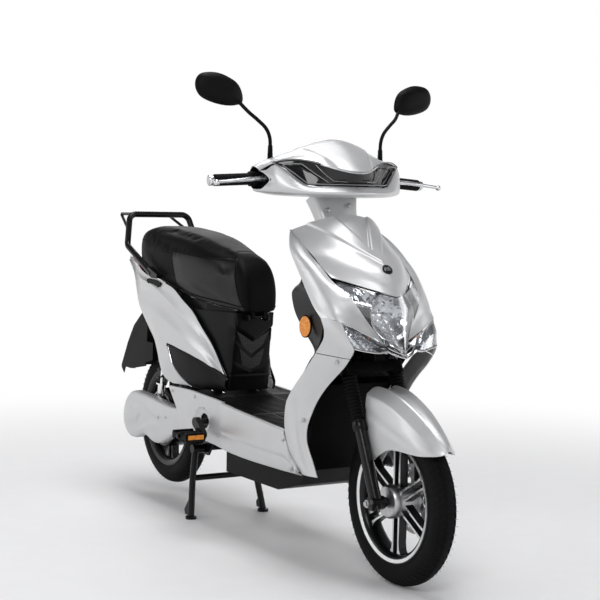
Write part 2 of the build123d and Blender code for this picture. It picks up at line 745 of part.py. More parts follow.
def inner_section(height, edge_half, edge, corner_half, corner, middle):
    outer = [
        (-edge_half, edge), (-corner_half, corner), (-60, middle),
        (60, middle), (corner_half, corner), (edge_half, edge),
    ]
    inner = [
        (-edge_half + SKIN, edge - 2), (-corner_half + SKIN, corner - SKIN), (-60, middle - SKIN),
        (60, middle - SKIN), (corner_half - SKIN, corner - SKIN), (edge_half - SKIN, edge - 2),
    ]
    return polygon(level(height), outer + inner[::-1])


KEY_PLACE = (-70, 790)
key_plane = Plane(origin=place(KEY_PLACE[0], 346, KEY_PLACE[1]), x_dir=(1, 0, 0), z_dir=(0, 1, 0))
with BuildPart() as inner_leg_shield:
    loft(sections=[inner_section(*row) for row in inner_levels], ruled=True)
    extrude(disc(key_plane.offset(-30), 9 + RUNNING_CLEARANCE), amount=60, mode=Mode.SUBTRACT)

with BuildPart() as ignition_switch:
    extrude(disc(key_plane.offset(-30), 9), amount=36)
    extrude(block(key_plane.offset(6), 3, 12), amount=8)
    extrude(block(key_plane.offset(12), 4, 26, radius=1.5), amount=22)

REFLECTOR_CENTRE = (222, 650)
with BuildPart() as reflector_right:
    with BuildSketch(side(-166)):
        with Locations(REFLECTOR_CENTRE):
            Ellipse(17, 29)
    extrude(amount=5)
with BuildPart() as side_reflectors:
    add(both_sides(reflector_right.part))

# ---------------------------------------------------------------- floor, skirts, belly pan and battery
FLOOR_FRONT = (338, 352)
FLOOR_REAR = (905, 396)
FLOOR_THICKNESS = 4
with BuildPart() as floorboard:
    floor_outline = [
        FLOOR_FRONT,
        FLOOR_REAR,
        (FLOOR_REAR[0], FLOOR_REAR[1] - FLOOR_THICKNESS),
        (FLOOR_FRONT[0], FLOOR_FRONT[1] - FLOOR_THICKNESS),
    ]
    extrude(polygon(side(-FLOOR_HALF_WIDTH), floor_outline), amount=2 * FLOOR_HALF_WIDTH)
    # cut-outs for the frame rails where they rise to the seat
    for rail_x in (-RAIL_X, RAIL_X):
        extrude(block(level(330), 34, 80, (rail_x, 890)), amount=100, mode=Mode.SUBTRACT)

skirt_outline = [
    (240, 250), (500, 243), (676, 250), (724, 258), (800, 262), (932, 290),
    (1034, 396), (885, 400), (668, 388), (322, 361), (317, 344), (288, 300),
]
skirt_hollow = [
    (250, 254), (500, 247), (676, 254), (724, 262), (798, 266), (930, 294),
    (1024, 392), (885, 396), (668, 384), (326, 357), (321, 343), (292, 299),
]
SKIRT_OUTER = 161
SKIRT_INNER = 142
with BuildPart() as skirt_right:
    extrude(polygon(side(-SKIRT_OUTER), skirt_outline), amount=SKIRT_OUTER - SKIRT_INNER)
    extrude(
        polygon(side(-SKIRT_OUTER + SKIN), skirt_hollow),
        amount=SKIRT_OUTER - SKIRT_INNER - SKIN,
        mode=Mode.SUBTRACT,
    )
    # opening for the crank
    with BuildSketch(side(-SKIRT_OUTER)):
        with Locations((CRANK_BEHIND + 14, CRANK_HEIGHT - 6)):
            Ellipse(34, 44)
    extrude(amount=SKIN, mode=Mode.SUBTRACT)
with BuildPart() as skirt_left:
    mirror(skirt_right.part, about=Plane.YZ)

PAN_HALF_WIDTH = 122
pan_outline = [(240, 486), (240, 262), (300, 212), (406, 182), (706, 182)]
with BuildPart() as belly_pan:
    # front wall and bottom sheet
    extrude(curve_band(side(-PAN_HALF_WIDTH), pan_outline, -SKIN), amount=2 * PAN_HALF_WIDTH)
    # side walls
    for wall_x in (-PAN_HALF_WIDTH, PAN_HALF_WIDTH - SKIN):
        extrude(
            polygon(side(wall_x), pan_outline + [(706, 240), (330, 240), (264, 300), (252, 486)]),
            amount=SKIN,
        )
    # rear wall
    extrude(polygon(side(-PAN_HALF_WIDTH), [(703, 182), (706, 182), (706, 240), (703, 240)]),
            amount=2 * PAN_HALF_WIDTH)

with BuildPart() as battery_pack:
    extrude(polygon(side(-104), [(410, 192), (696, 192), (696, 306), (410, 306)]), amount=208)
    fillet(battery_pack.edges().filter_by(Axis.X), 8)

# ---------------------------------------------------------------- pedestal, side panels and seat
pedestal_levels = [
    # height, front half width, front place, rear half width, rear place
    (404, 68, 800, 84, 866),
    (470, 68, 790, 87, 872),
    (560, 66, 776, 93, 886),
    (636, 64, 768, 108, 968),
]


def pedestal_section(height, front_half, front_behind, rear_half, rear_behind):
    outer = [(-rear_half, rear_behind), (-front_half, front_behind), (front_half, front_behind),
             (rear_half, rear_behind)]
    inner = [(-rear_half + SKIN, rear_behind), (-front_half + SKIN, front_behind + SKIN),
             (front_half - SKIN, front_behind + SKIN), (rear_half - SKIN, rear_behind)]
    return polygon(level(height), outer + inner[::-1])


with BuildPart() as seat_pedestal:
    loft(sections=[pedestal_section(*row) for row in pedestal_levels], ruled=True)
    # hinge block at the top front
    extrude(block(level(612), 70, 12, (0, 779)), amount=20)
    extrude(disc(side(-30), 4, SEAT_HINGE), amount=60)
    for ear_x in (-36, 30):
        extrude(belt(side(ear_x), SEAT_HINGE, 7, (778, 620), 6), amount=6)
    # rim that stands up into the hollow of the seat
    rim_outer = [(-102, 1160), (-102, 1060), (-90, 905), (-54, 787), (54, 787), (90, 905), (102, 1060), (102, 1160)]
    rim_inner = [(99, 1160), (99, 1060), (87, 906), (52, 790), (-52, 790), (-87, 906), (-99, 1060), (-99, 1160)]
    extrude(polygon(level(632), rim_outer + rim_inner), amount=54)

# painted side panel: sections across the length, (x, height) from the lower edge to the upper edge
panel_sections = [
    # behind, lower half width, lower height, middle half width, middle height, upper half width, upper height
    (806, 80, 404, 80, 425, 78, 446),
    (900, 108, 404, 112, 480, 108, 572),
    (1010, 126, 402, 134, 530, 124, 664),
    (1120, 134, 430, 140, 590, 128, 708),
    (1260, 118, 560, 130, 640, 120, 716),
    (1320, 108, 604, 124, 672, 114, 738),
    (1360, 104, 664, 114, 712, 110, 752),
    (1395, 100, 722, 106, 742, 106, 762),
    (1452, 95, 766, 97, 772, 96, 779),
]


def panel_section(behind, low_half, low_z, mid_half, mid_z, high_half, high_z):
    outer = [(-low_half, low_z), (-mid_half, mid_z), (-high_half, high_z)]
    inner = [(x + SKIN, height) for x, height in outer]
    return polygon(cross_section(behind), outer + inner[::-1])


with BuildPart() as side_panel_right:
    loft(sections=[panel_section(*row) for row in panel_sections], ruled=True)
with BuildPart() as side_panel_left:
    mirror(side_panel_right.part, about=Plane.YZ)

insert_levels = [
    # behind, lower half width, lower height, upper half width, upper height
    (830, 86, 426, 86, 440),
    (900, 108, 436, 110, 470),
    (1000, 129, 452, 132.5, 502),
    (1080, 137, 480, 138.5, 512),
]
with BuildPart() as insert_right:
    insert_faces = []
    for behind, low_half, low_z, high_half, high_z in insert_levels:
        outer = [(-low_half - 7, low_z), (-high_half - 6, high_z)]
        inner = [(x + 3, height) for x, height in outer]
        insert_faces.append(polygon(cross_section(behind), outer + inner[::-1]))
    loft(sections=insert_faces, ruled=True)
with BuildPart() as side_inserts:
    add(both_sides(insert_right.part))

# seat base plate with the hinge leaves
leaf_outline = [(741, 628), (741, 660), (790, 729), (800, 729), (800, 722), (755, 655), (755, 628)]
with BuildPart() as seat_base:
    base_outline = [
        (-58, 774), (58, 774), (96, 900), (106, 1060), (106, 1250), (92, 1376),
        (-92, 1376), (-106, 1250), (-106, 1060), (-96, 900),
    ]
    base_face = polygon(level(724), base_outline)
    extrude(base_face, amount=5)
    for leaf_x in (-24, 16):
        extrude(polygon(side(leaf_x), leaf_outline), amount=8)
        extrude(disc(side(leaf_x), 7, SEAT_HINGE), amount=8)
    extrude(disc(side(-40), 4 + RUNNING_CLEARANCE, SEAT_HINGE), amount=80, mode=Mode.SUBTRACT)

# seat cushion: sections across the length, each (behind, half width, bottom height, top height)
cushion_sections = [
    (730, 44, 645, 690),
    (760, 62, 645, 770),
    (804, 68, 647, 806),
    (880, 92, 652, 826),
    (1000, 112, 667, 856),
    (1150, 116, 696, 872),
    (1290, 110, 724, 880),
    (1388, 92, 750, 866),
]


def cushion_section(behind, half, low, high):
    shoulder = high - 0.22 * (high - low)
    tuck = low + 0.2 * (high - low)
    points = [
        (-0.86 * half, low), (-half, tuck), (-half, shoulder), (-0.7 * half, high),
        (0.7 * half, high), (half, shoulder), (half, tuck), (0.86 * half, low),
    ]
    return polygon(cross_section(behind), points)


with BuildPart() as seat_cushion:
    loft(sections=[cushion_section(*row) for row in cushion_sections], ruled=True)
    # underside hollow that holds the base plate and the hinge leaves
    extrude(polygon(level(640), [(-59, 773), (59, 773), (97, 899), (107, 1059), (107, 1252), (93, 1377),
                                 (-93, 1377), (-107, 1252), (-107, 1059), (-97, 899)]),
            amount=729.2 - 640, mode=Mode.SUBTRACT)
    extrude(block(level(600), 60, 60, (0, 755)), amount=132, mode=Mode.SUBTRACT)

# ---------------------------------------------------------------- rack, tail light and rear mudguard
HOOP_RADIUS = 10
hoop_route = [
    place(-129, 1210, 732),
    place(-129, 1400, 816),
    place(-106, 1434, 918),
    place(106, 1434, 918),
    place(129, 1400, 816),
    place(129, 1210, 732),
]
carrier_route = [
    place(-92, 1440, 918),
    place(-84, 1556, 918),
    place(84, 1556, 918),
    place(92, 1440, 918),
]
rack_foot_outline = [(1160, 720), (1200, 720), (1240, 736), (1224, 754), (1160, 732)]
hoop = tube(hoop_route, HOOP_RADIUS, 28)
carrier = tube(carrier_route, 5, 14)
with BuildPart() as luggage_rack:
    add(hoop)
    add(carrier)
    for bar_x in (-44, 0, 44):
        add(tube([place(bar_x, 1436, 918), place(bar_x, 1556, 918)], 4, 0))
    for strut_x in (-88, 88):
        add(tube([place(strut_x, 1540, 914), place(strut_x * 1.28, 1418, 856)], 5, 0))
    for foot_x in (-137, 119):
        extrude(polygon(side(foot_x), rack_foot_outline), amount=18)

with BuildPart() as tail_light:
    extrude(polygon(side(-84), [(1402, 722), (1440, 738), (1462, 768), (1456, 784), (1402, 774)]), amount=168)
    fillet(tail_light.edges().filter_by(Axis.X), 4)

mudguard_outline = [(1330, 690), (1392, 612), (1480, 548), (1530, 486), (OVERALL_LENGTH - TYRE_RADIUS, 396)]
with BuildPart() as rear_mudguard:
    extrude(curve_band(side(-66), mudguard_outline, SKIN), amount=132)
    for wall_x in (-66, 66 - SKIN):
        wall_outline = mudguard_outline + [(1500, 396), (1384, 416), (1372, 560), (1318, 640)]
        extrude(polygon(side(wall_x), wall_outline), amount=SKIN)

# ---------------------------------------------------------------- rear wheel, swingarm and chain
MOTOR_RADIUS = 96
MOTOR_HALF_WIDTH = 46
REAR_AXLE_RADIUS = 7
REAR_AXLE = (WHEELBASE, REAR_AXLE_HEIGHT)
REAR_BORE_RADIUS = REAR_AXLE_RADIUS + RUNNING_CLEARANCE
with BuildPart() as rear_wheel:
    add(cast_wheel(WHEELBASE, REAR_AXLE_HEIGHT, MOTOR_RADIUS, MOTOR_HALF_WIDTH, REAR_BORE_RADIUS))
    # freewheel sprocket on its boss
    extrude(disc(side(CHAIN_X - 2), SPROCKET_RADIUS, REAR_AXLE), amount=4)
    extrude(disc(side(CHAIN_X - 2), 20, REAR_AXLE), amount=-CHAIN_X + 2 - MOTOR_HALF_WIDTH)
    extrude(disc(side(-130), REAR_BORE_RADIUS, REAR_AXLE), amount=200, mode=Mode.SUBTRACT)

with BuildPart() as rear_tyre:
    add(tyre(*REAR_AXLE))

ARM_X = 88
ARM_HALF = 10
CLEVIS_HALF = 13
CLEVIS_EAR = 5.5
CLEVIS_PIN_RADIUS = 5
clevis_foot = [(1206, 262), (1214, 302), (1252, 302), (1262, 262)]
with BuildPart() as swingarm:
    arm_outline = [
        (CRANK_BEHIND, CRANK_HEIGHT + 18), (1000, 312), (1230, 284), (1364, 280),
        (1364, 232), (1230, 230), (1000, 272), (CRANK_BEHIND, CRANK_HEIGHT - 18),
    ]
    for arm_x in (-ARM_X - ARM_HALF, ARM_X - ARM_HALF):
        extrude(polygon(side(arm_x), arm_outline), amount=2 * ARM_HALF)
        extrude(disc(side(arm_x), 32, (CRANK_BEHIND, CRANK_HEIGHT)), amount=2 * ARM_HALF)
    extrude(disc(side(-ARM_X), 14, (1010, 292)), amount=2 * ARM_X)
    # clevis and pin under each shock
    for shock_x in (-SHOCK_X, SHOCK_X):
        extrude(polygon(side(shock_x - CLEVIS_HALF), clevis_foot), amount=2 * CLEVIS_HALF)
        for ear_x in (shock_x - CLEVIS_HALF, shock_x + CLEVIS_HALF - CLEVIS_EAR):
            extrude(belt(side(ear_x), SHOCK_BOTTOM, 13, (1233, 296), 15), amount=CLEVIS_EAR)
        extrude(disc(side(shock_x - CLEVIS_HALF), CLEVIS_PIN_RADIUS, SHOCK_BOTTOM), amount=2 * CLEVIS_HALF)
    for arm_x in (-ARM_X - ARM_HALF, ARM_X - ARM_HALF):
        extrude(disc(side(arm_x), BRACKET_SHELL_RADIUS + RUNNING_CLEARANCE, (CRANK_BEHIND, CRANK_HEIGHT)),
                amount=2 * ARM_HALF, mode=Mode.SUBTRACT)
    # slot for the sprocket boss on the right, hole for the axle on both sides
    extrude(disc(side(-ARM_X - ARM_HALF), 21, REAR_AXLE), amount=2 * ARM_HALF, mode=Mode.SUBTRACT)
    extrude(disc(side(ARM_X - ARM_HALF), REAR_AXLE_RADIUS, REAR_AXLE), amount=2 * ARM_HALF, mode=Mode.SUBTRACT)
    # plate outside the sprocket that holds the right end of the axle
    outer_plate = belt(side(-124), REAR_AXLE, 22, (1352, REAR_AXLE_HEIGHT), 10)
    extrude(outer_plate, amount=5)
    extrude(disc(side(-124), 10, (1352, REAR_AXLE_HEIGHT)), amount=36)
    extrude(disc(side(-124), REAR_AXLE_RADIUS, REAR_AXLE), amount=5, mode=Mode.SUBTRACT)

with BuildPart() as rear_axle:
    extrude(disc(side(-131), REAR_AXLE_RADIUS, REAR_AXLE), amount=240)
    for nut_x in (-131, 98.2):
        with BuildSketch(side(nut_x)):
            with Locations(REAR_AXLE):
                RegularPolygon(12, 6)
        extrude(amount=6.8)

with BuildPart() as drive_chain:
    extrude(
        belt(side(CHAIN_X - 3), (CRANK_BEHIND, CRANK_HEIGHT), CHAINRING_RADIUS + CHAIN_DEPTH,
             REAR_AXLE, SPROCKET_RADIUS + CHAIN_DEPTH),
        amount=6,
    )
    extrude(
        belt(side(CHAIN_X - 3), (CRANK_BEHIND, CRANK_HEIGHT), CHAINRING_RADIUS + CLEAR,
             REAR_AXLE, SPROCKET_RADIUS + CLEAR),
        amount=6,
        mode=Mode.SUBTRACT,
    )

COVER_OUTER = 136
COVER_INNER = 102
with BuildPart() as chain_cover:
    extrude(belt(side(-COVER_OUTER), (935, 300), 52, (1334, 258), 90), amount=COVER_OUTER - COVER_INNER)
    extrude(belt(side(-COVER_OUTER + SKIN), (935, 300), 49, (1334, 258), 87),
            amount=COVER_OUTER - COVER_INNER - SKIN, mode=Mode.SUBTRACT)
    # the chain enters at the front
    extrude(polygon(side(-COVER_OUTER + SKIN), [(860, 246), (920, 246), (920, 350), (860, 350)]),
            amount=COVER_OUTER - COVER_INNER - SKIN, mode=Mode.SUBTRACT)

PEDAL_RIGHT = (CRANK_BEHIND - 0.8 * CRANK_LENGTH, CRANK_HEIGHT - 0.6 * CRANK_LENGTH)
PEDAL_LEFT = (CRANK_BEHIND + 0.8 * CRANK_LENGTH, CRANK_HEIGHT + 0.6 * CRANK_LENGTH)
with BuildPart() as crankset:
    extrude(disc(side(-184), CRANK_AXLE_RADIUS, (CRANK_BEHIND, CRANK_HEIGHT)), amount=368)
    extrude(disc(side(CHAIN_X - 2), CHAINRING_RADIUS, (CRANK_BEHIND, CRANK_HEIGHT)), amount=4)
    for arm_x, pedal_end, spindle_x in ((-186, PEDAL_RIGHT, -262), (170, PEDAL_LEFT, 186)):
        extrude(belt(side(arm_x), (CRANK_BEHIND, CRANK_HEIGHT), 15, pedal_end, 12), amount=16)
        extrude(disc(side(spindle_x), 6, pedal_end), amount=76)

PEDAL_LENGTH = 92
PEDAL_THICKNESS = 26


def pedal(inner_x, centre):
    """A block pedal with two end plates and a reflector on each tread edge."""
    with BuildPart() as tread:
        extrude(block(side(inner_x), PEDAL_LENGTH, PEDAL_THICKNESS, centre, 5), amount=66)
        extrude(block(side(inner_x + 6), 26, PEDAL_THICKNESS, (centre[0] - 27, centre[1]), 3), amount=54,
                mode=Mode.SUBTRACT)
        extrude(block(side(inner_x + 6), 26, PEDAL_THICKNESS, (centre[0] + 27, centre[1]), 3), amount=54,
                mode=Mode.SUBTRACT)
        extrude(disc(side(inner_x), 6 + RUNNING_CLEARANCE, centre), amount=66, mode=Mode.SUBTRACT)
    return tread.part


with BuildPart() as pedal_right:
    add(pedal(-256, PEDAL_RIGHT))
with BuildPart() as pedal_left:
    add(pedal(190, PEDAL_LEFT))

# ---------------------------------------------------------------- rear shocks
shock_run = (SHOCK_BOTTOM[0] - SHOCK_TOP[0], SHOCK_BOTTOM[1] - SHOCK_TOP[1])
SHOCK_LENGTH = hypot(*shock_run)
shock_down = Vector(0, shock_run[0] / SHOCK_LENGTH, shock_run[1] / SHOCK_LENGTH)


def along_shock(x, distance):
    """The plane square to a rear shock, at a distance below its upper eye."""
    return Plane(origin=place(x, *SHOCK_TOP) + shock_down * distance, x_dir=(1, 0, 0), z_dir=shock_down)


SHOCK_BODY_LENGTH = 182
SHOCK_BODY_START = 14
SHOCK_BORE_START = 110
SHOCK_ROD_RADIUS = 6
SHOCK_ROD_START = 180
SPRING_SEAT_RADIUS = 18
SPRING_SEAT_THICKNESS = 5
UPPER_SEAT = 22
LOWER_SEAT = 262
EYE_THICKNESS = 12
with BuildPart() as shock_bodies:
    for shock_x in (-SHOCK_X, SHOCK_X):
        extrude(disc(side(shock_x - 8), 15, SHOCK_TOP), amount=16)
        extrude(disc(along_shock(shock_x, SHOCK_BODY_START), 11), amount=SHOCK_BODY_LENGTH)
        extrude(disc(along_shock(shock_x, UPPER_SEAT), SPRING_SEAT_RADIUS), amount=SPRING_SEAT_THICKNESS)
        extrude(disc(side(shock_x - 8), SHOCK_PIN_RADIUS + RUNNING_CLEARANCE, SHOCK_TOP), amount=16,
                mode=Mode.SUBTRACT)
        extrude(disc(along_shock(shock_x, SHOCK_BORE_START), SHOCK_ROD_RADIUS + RUNNING_CLEARANCE),
                amount=SHOCK_BODY_LENGTH, mode=Mode.SUBTRACT)

with BuildPart() as shock_rods:
    for shock_x in (-SHOCK_X, SHOCK_X):
        extrude(disc(along_shock(shock_x, SHOCK_ROD_START), SHOCK_ROD_RADIUS),
                amount=SHOCK_LENGTH - SHOCK_ROD_START - 18)
        extrude(disc(along_shock(shock_x, LOWER_SEAT), SPRING_SEAT_RADIUS), amount=SPRING_SEAT_THICKNESS)
        extrude(disc(along_shock(shock_x, LOWER_SEAT), 12), amount=SHOCK_LENGTH - LOWER_SEAT - 18)
        # neck and eye; the pin has play in the eye
        extrude(disc(along_shock(shock_x, SHOCK_LENGTH - 20), 5.5), amount=12)
        extrude(ring(side(shock_x - EYE_THICKNESS / 2), 12, 6.5, SHOCK_BOTTOM), amount=EYE_THICKNESS)

SPRING_LOW = LOWER_SEAT - 1
SPRING_HIGH = UPPER_SEAT + SPRING_SEAT_THICKNESS + 1
SPRING_TURNS = 9
SPRING_WIRE_RADIUS = 2.8
SPRING_COIL_RADIUS = 15


def coil(x):
    """The coil spring of one rear shock."""
    height = SPRING_LOW - SPRING_HIGH - 2 * SPRING_WIRE_RADIUS
    with BuildPart() as spring:
        with BuildLine() as path:
            Helix(height / SPRING_TURNS, height, SPRING_COIL_RADIUS,
                  center=along_shock(x, SPRING_HIGH + SPRING_WIRE_RADIUS).origin, direction=shock_down)
        with BuildSketch(Plane(origin=path.line @ 0, z_dir=path.line % 0)):
            Circle(SPRING_WIRE_RADIUS)
        sweep(is_frenet=True)
    return spring.part


coil_right = coil(-SHOCK_X)
with BuildPart() as shock_springs:
    add(both_sides(coil_right))

# ---------------------------------------------------------------- stands
stand_leg_route = [
    place(-96, STAND_BEHIND, STAND_HEIGHT),
    place(-112, STAND_BEHIND - 14, 110),
    place(-STAND_FOOT_HALF_SPACING, STAND_FOOT_BEHIND, 8),
]
stand_leg = tube(stand_leg_route, 10, 60)
with BuildPart() as centre_stand:
    extrude(disc(side(-108), 14, (STAND_BEHIND, STAND_HEIGHT)), amount=43)
    extrude(disc(side(65), 14, (STAND_BEHIND, STAND_HEIGHT)), amount=43)
    extrude(disc(side(-108), STAND_SHAFT_RADIUS, (STAND_BEHIND, STAND_HEIGHT)), amount=216)
    add(both_sides(stand_leg))
    extrude(disc(side(-108), 9, (STAND_BEHIND - 12, 120)), amount=216)
    for foot_x in (-STAND_FOOT_HALF_SPACING, STAND_FOOT_HALF_SPACING):
        extrude(disc(level(0), 17, (foot_x, STAND_FOOT_BEHIND)), amount=8)
        extrude(
            polygon(side(foot_x - 4), [(STAND_FOOT_BEHIND - 6, 6), (STAND_FOOT_BEHIND + 34, 10),
                                       (STAND_FOOT_BEHIND + 38, 24), (STAND_FOOT_BEHIND + 8, 60)]),
            amount=8,
        )

SIDE_STAND_PIVOT = (112, 640, 196)
with BuildPart() as side_stand:
    extrude(disc(side(SIDE_STAND_PIVOT[0] + 18), 16, SIDE_STAND_PIVOT[1:]), amount=10)
    extrude(belt(side(SIDE_STAND_PIVOT[0] + 18), SIDE_STAND_PIVOT[1:], 11, (806, 132), 8), amount=10)
    extrude(belt(side(SIDE_STAND_PIVOT[0] + 10), (790, 128), 8, (816, 122), 9), amount=34)

# ---------------------------------------------------------------- write every piece
pieces = {
    "main_frame": main_frame,
    "bearings": bearings,
    "steering_stem": steering_stem,
    "fork_gaiters": fork_gaiters,
    "fork_legs": fork_legs,
    "front_axle": front_axle,
    "front_rim": front_rim,
    "front_tyre": front_tyre,
    "brake_disc": brake_disc,
    "brake_caliper": brake_caliper,
    "front_fender": front_fender,
    "handlebar": handlebar,
    "throttle_grip": throttle_grip,
    "left_grip": left_grip,
    "switch_housings": switch_housings,
    "horn_button": horn_button,
    "turn_switch": turn_switch,
    "brake_lever_right": brake_lever_right,
    "brake_lever_left": brake_lever_left,
    "mirror_right": mirror_right,
    "mirror_left": mirror_left,
    "cowl_front": cowl_front,
    "cowl_window": cowl_window,
    "cowl_rear": cowl_rear,
    "neck_cover": neck_cover,
    "leg_shield": leg_shield,
    "front_cover": front_cover,
    "headlight_lens": headlight_lens,
    "headlight_housing": headlight_housing,
    "inner_leg_shield": inner_leg_shield,
    "ignition_switch": ignition_switch,
    "side_reflectors": side_reflectors,
    "floorboard": floorboard,
    "skirt_right": skirt_right,
    "skirt_left": skirt_left,
    "belly_pan": belly_pan,
    "battery_pack": battery_pack,
    "seat_pedestal": seat_pedestal,
    "side_panel_right": side_panel_right,
    "side_panel_left": side_panel_left,
    "side_inserts": side_inserts,
    "seat_base": seat_base,
    "seat_cushion": seat_cushion,
    "luggage_rack": luggage_rack,
    "tail_light": tail_light,
    "rear_mudguard": rear_mudguard,
    "rear_wheel": rear_wheel,
    "rear_tyre": rear_tyre,
    "swingarm": swingarm,
    "rear_axle": rear_axle,
    "drive_chain": drive_chain,
    "chain_cover": chain_cover,
    "crankset": crankset,
    "pedal_right": pedal_right,
    "pedal_left": pedal_left,
    "shock_bodies": shock_bodies,
    "shock_rods": shock_rods,
    "shock_springs": shock_springs,
    "centre_stand": centre_stand,
    "side_stand": side_stand,
}
for name, piece in pieces.items():
    piece.part.label = name
    export_step(piece.part, f"parts/{name}.step")
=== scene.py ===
import json
from math import cos, pi, radians, sin, tau

import bmesh
import bpy
import numpy as np
from mathutils import Matrix, Vector
from mathutils.bvhtree import BVHTree


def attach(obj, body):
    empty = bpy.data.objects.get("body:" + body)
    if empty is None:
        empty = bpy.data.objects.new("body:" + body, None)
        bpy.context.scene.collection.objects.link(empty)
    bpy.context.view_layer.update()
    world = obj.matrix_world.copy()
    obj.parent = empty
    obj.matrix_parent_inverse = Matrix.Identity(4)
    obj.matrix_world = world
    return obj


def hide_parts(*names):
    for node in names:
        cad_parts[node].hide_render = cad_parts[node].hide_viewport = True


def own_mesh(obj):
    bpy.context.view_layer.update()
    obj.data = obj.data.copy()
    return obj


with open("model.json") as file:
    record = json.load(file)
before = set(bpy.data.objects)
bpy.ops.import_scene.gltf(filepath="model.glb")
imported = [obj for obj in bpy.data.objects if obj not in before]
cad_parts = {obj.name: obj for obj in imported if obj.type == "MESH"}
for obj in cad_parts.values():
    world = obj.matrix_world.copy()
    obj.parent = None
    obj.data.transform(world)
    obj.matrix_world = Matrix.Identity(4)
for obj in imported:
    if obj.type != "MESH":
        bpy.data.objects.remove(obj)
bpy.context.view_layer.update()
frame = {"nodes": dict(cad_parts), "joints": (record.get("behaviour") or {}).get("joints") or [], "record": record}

# ---------------------------------------------------------------- places
# Points are written as (x, distance behind the front axle, height) in millimetres.
MM = 0.001
JOINTS = {joint["name"]: joint for joint in frame["joints"]}
FRONT_AXLE = np.array(JOINTS["front_wheel_spin"]["pos_m"])
REAR_AXLE = np.array(JOINTS["rear_wheel_spin"]["pos_m"])
STEER_AXIS = np.array(JOINTS["steer"]["axis"])
BAR_ELBOW = np.array(JOINTS["throttle_turn"]["pos_m"])
BAR_AXIS = np.array(JOINTS["throttle_turn"]["axis"])
X_AXIS = np.array((1.0, 0.0, 0.0))
UPRIGHT = ((0, 1, 0), (0, 0, 1))
BODY = "chassis"
STEERED = "steering"


def at(point):
    """A written point, or an array of them, in the row frame in metres."""
    return np.asarray(point, float) * MM + (0, FRONT_AXLE[1], 0)


def written(place):
    """A place in metres as a written point."""
    return (np.asarray(place) - (0, FRONT_AXLE[1], 0)) / MM


def unit(vector):
    vector = np.asarray(vector, float)
    return vector / (np.linalg.norm(vector) + 1e-12)


def smooth_step(value, low, high):
    t = np.clip((np.asarray(value, float) - low) / (high - low), 0, 1)
    return t * t * (3 - 2 * t)


def curve(points, steps=6, sharp=()):
    """A smooth curve through the points, with corners at the sharp ones. Each point may be a row."""
    points = np.asarray(points, float)
    cuts = sorted({0, len(points) - 1, *sharp})
    out = []
    for first, last in zip(cuts[:-1], cuts[1:]):
        run = points[first:last + 1]
        run = np.concatenate([[2 * run[0] - run[1]], run, [2 * run[-1] - run[-2]]])
        for p0, p1, p2, p3 in zip(run[:-3], run[1:-2], run[2:-1], run[3:]):
            for t in np.arange(steps) / steps:
                out.append(0.5 * (2 * p1 + (p2 - p0) * t + (2 * p0 - 5 * p1 + 4 * p2 - p3) * t * t
                                  + (3 * p1 - p0 - 3 * p2 + p3) * t ** 3))
    out.append(points[-1])
    return np.array(out)


def closed_curve(points, steps=6):
    """A smooth loop through the points."""
    points = np.asarray(points, float)
    wrapped = np.concatenate([points[-2:], points, points[:2]])
    return curve(wrapped, steps)[2 * steps:(2 + len(points)) * steps]


def surface(rows, along=6, across=6, sharp_rows=(), sharp_columns=()):
    """A fine grid of points through a coarse one."""
    grid = curve(np.array(rows, float), along, sharp_rows)
    return curve(grid.swapaxes(0, 1), across, sharp_columns).swapaxes(0, 1)


def grid_normals(grid):
    normal = np.cross(np.gradient(grid, axis=0), np.gradient(grid, axis=1))
    return normal / (np.linalg.norm(normal, axis=2, keepdims=True) + 1e-12)


def relief(grid, height):
    """The grid pushed out along its normals by height(x, behind, z) in millimetres."""
    return grid + grid_normals(grid) * height(grid[..., 0], grid[..., 1], grid[..., 2])[..., None]


# ---------------------------------------------------------------- mesh pieces: (vertices in metres, faces)
def grid_faces(rows, columns, start=0, closed_rows=False, closed_columns=False):
    faces = []
    for i in range(rows if closed_rows else rows - 1):
        for j in range(columns if closed_columns else columns - 1):
            a, b = i % rows * columns + j, i % rows * columns + (j + 1) % columns
            c, d = (i + 1) % rows * columns + (j + 1) % columns, (i + 1) % rows * columns + j
            faces.append((start + a, start + b, start + c, start + d))
    return faces


def skin(grid, thickness=2.5):
    """A sheet of even thickness whose outer face is the grid."""
    rows, columns = grid.shape[:2]
    count = rows * columns
    inner = grid - grid_normals(grid) * thickness
    verts = np.concatenate([at(grid).reshape(-1, 3), at(inner).reshape(-1, 3)])
    front = grid_faces(rows, columns)
    faces = [face[::-1] for face in front] + [tuple(i + count for i in face) for face in front]
    rim = list(range(columns)) + [i * columns + columns - 1 for i in range(1, rows)]
    rim += [(rows - 1) * columns + j for j in range(columns - 2, -1, -1)]
    rim += [i * columns for i in range(rows - 2, 0, -1)]
    for a, b in zip(rim, rim[1:] + rim[:1]):
        faces.append((a, b, b + count, a + count))
    return verts, faces


def mirrored(part):
    verts, faces = part
    return verts * (-1, 1, 1), [face[::-1] for face in faces]


def both(part):
    return [part, mirrored(part)]


def frames_along(points, closed=False):
    """Two unit vectors square to the path at each point, without twist."""
    count = len(points)
    tangents = np.array([unit(points[(i + 1) % count] - points[i - 1]) if closed or 0 < i < count - 1
                         else unit(points[1] - points[0]) if i == 0 else unit(points[-1] - points[-2])
                         for i in range(count)])
    start = (0, 0, 1) if abs(tangents[0][2]) < 0.9 else (1, 0, 0)
    side_vector = unit(np.cross(tangents[0], start))
    result = []
    for tangent in tangents:
        side_vector = unit(side_vector - tangent * np.dot(side_vector, tangent))
        result.append((side_vector, np.cross(tangent, side_vector)))
    return result


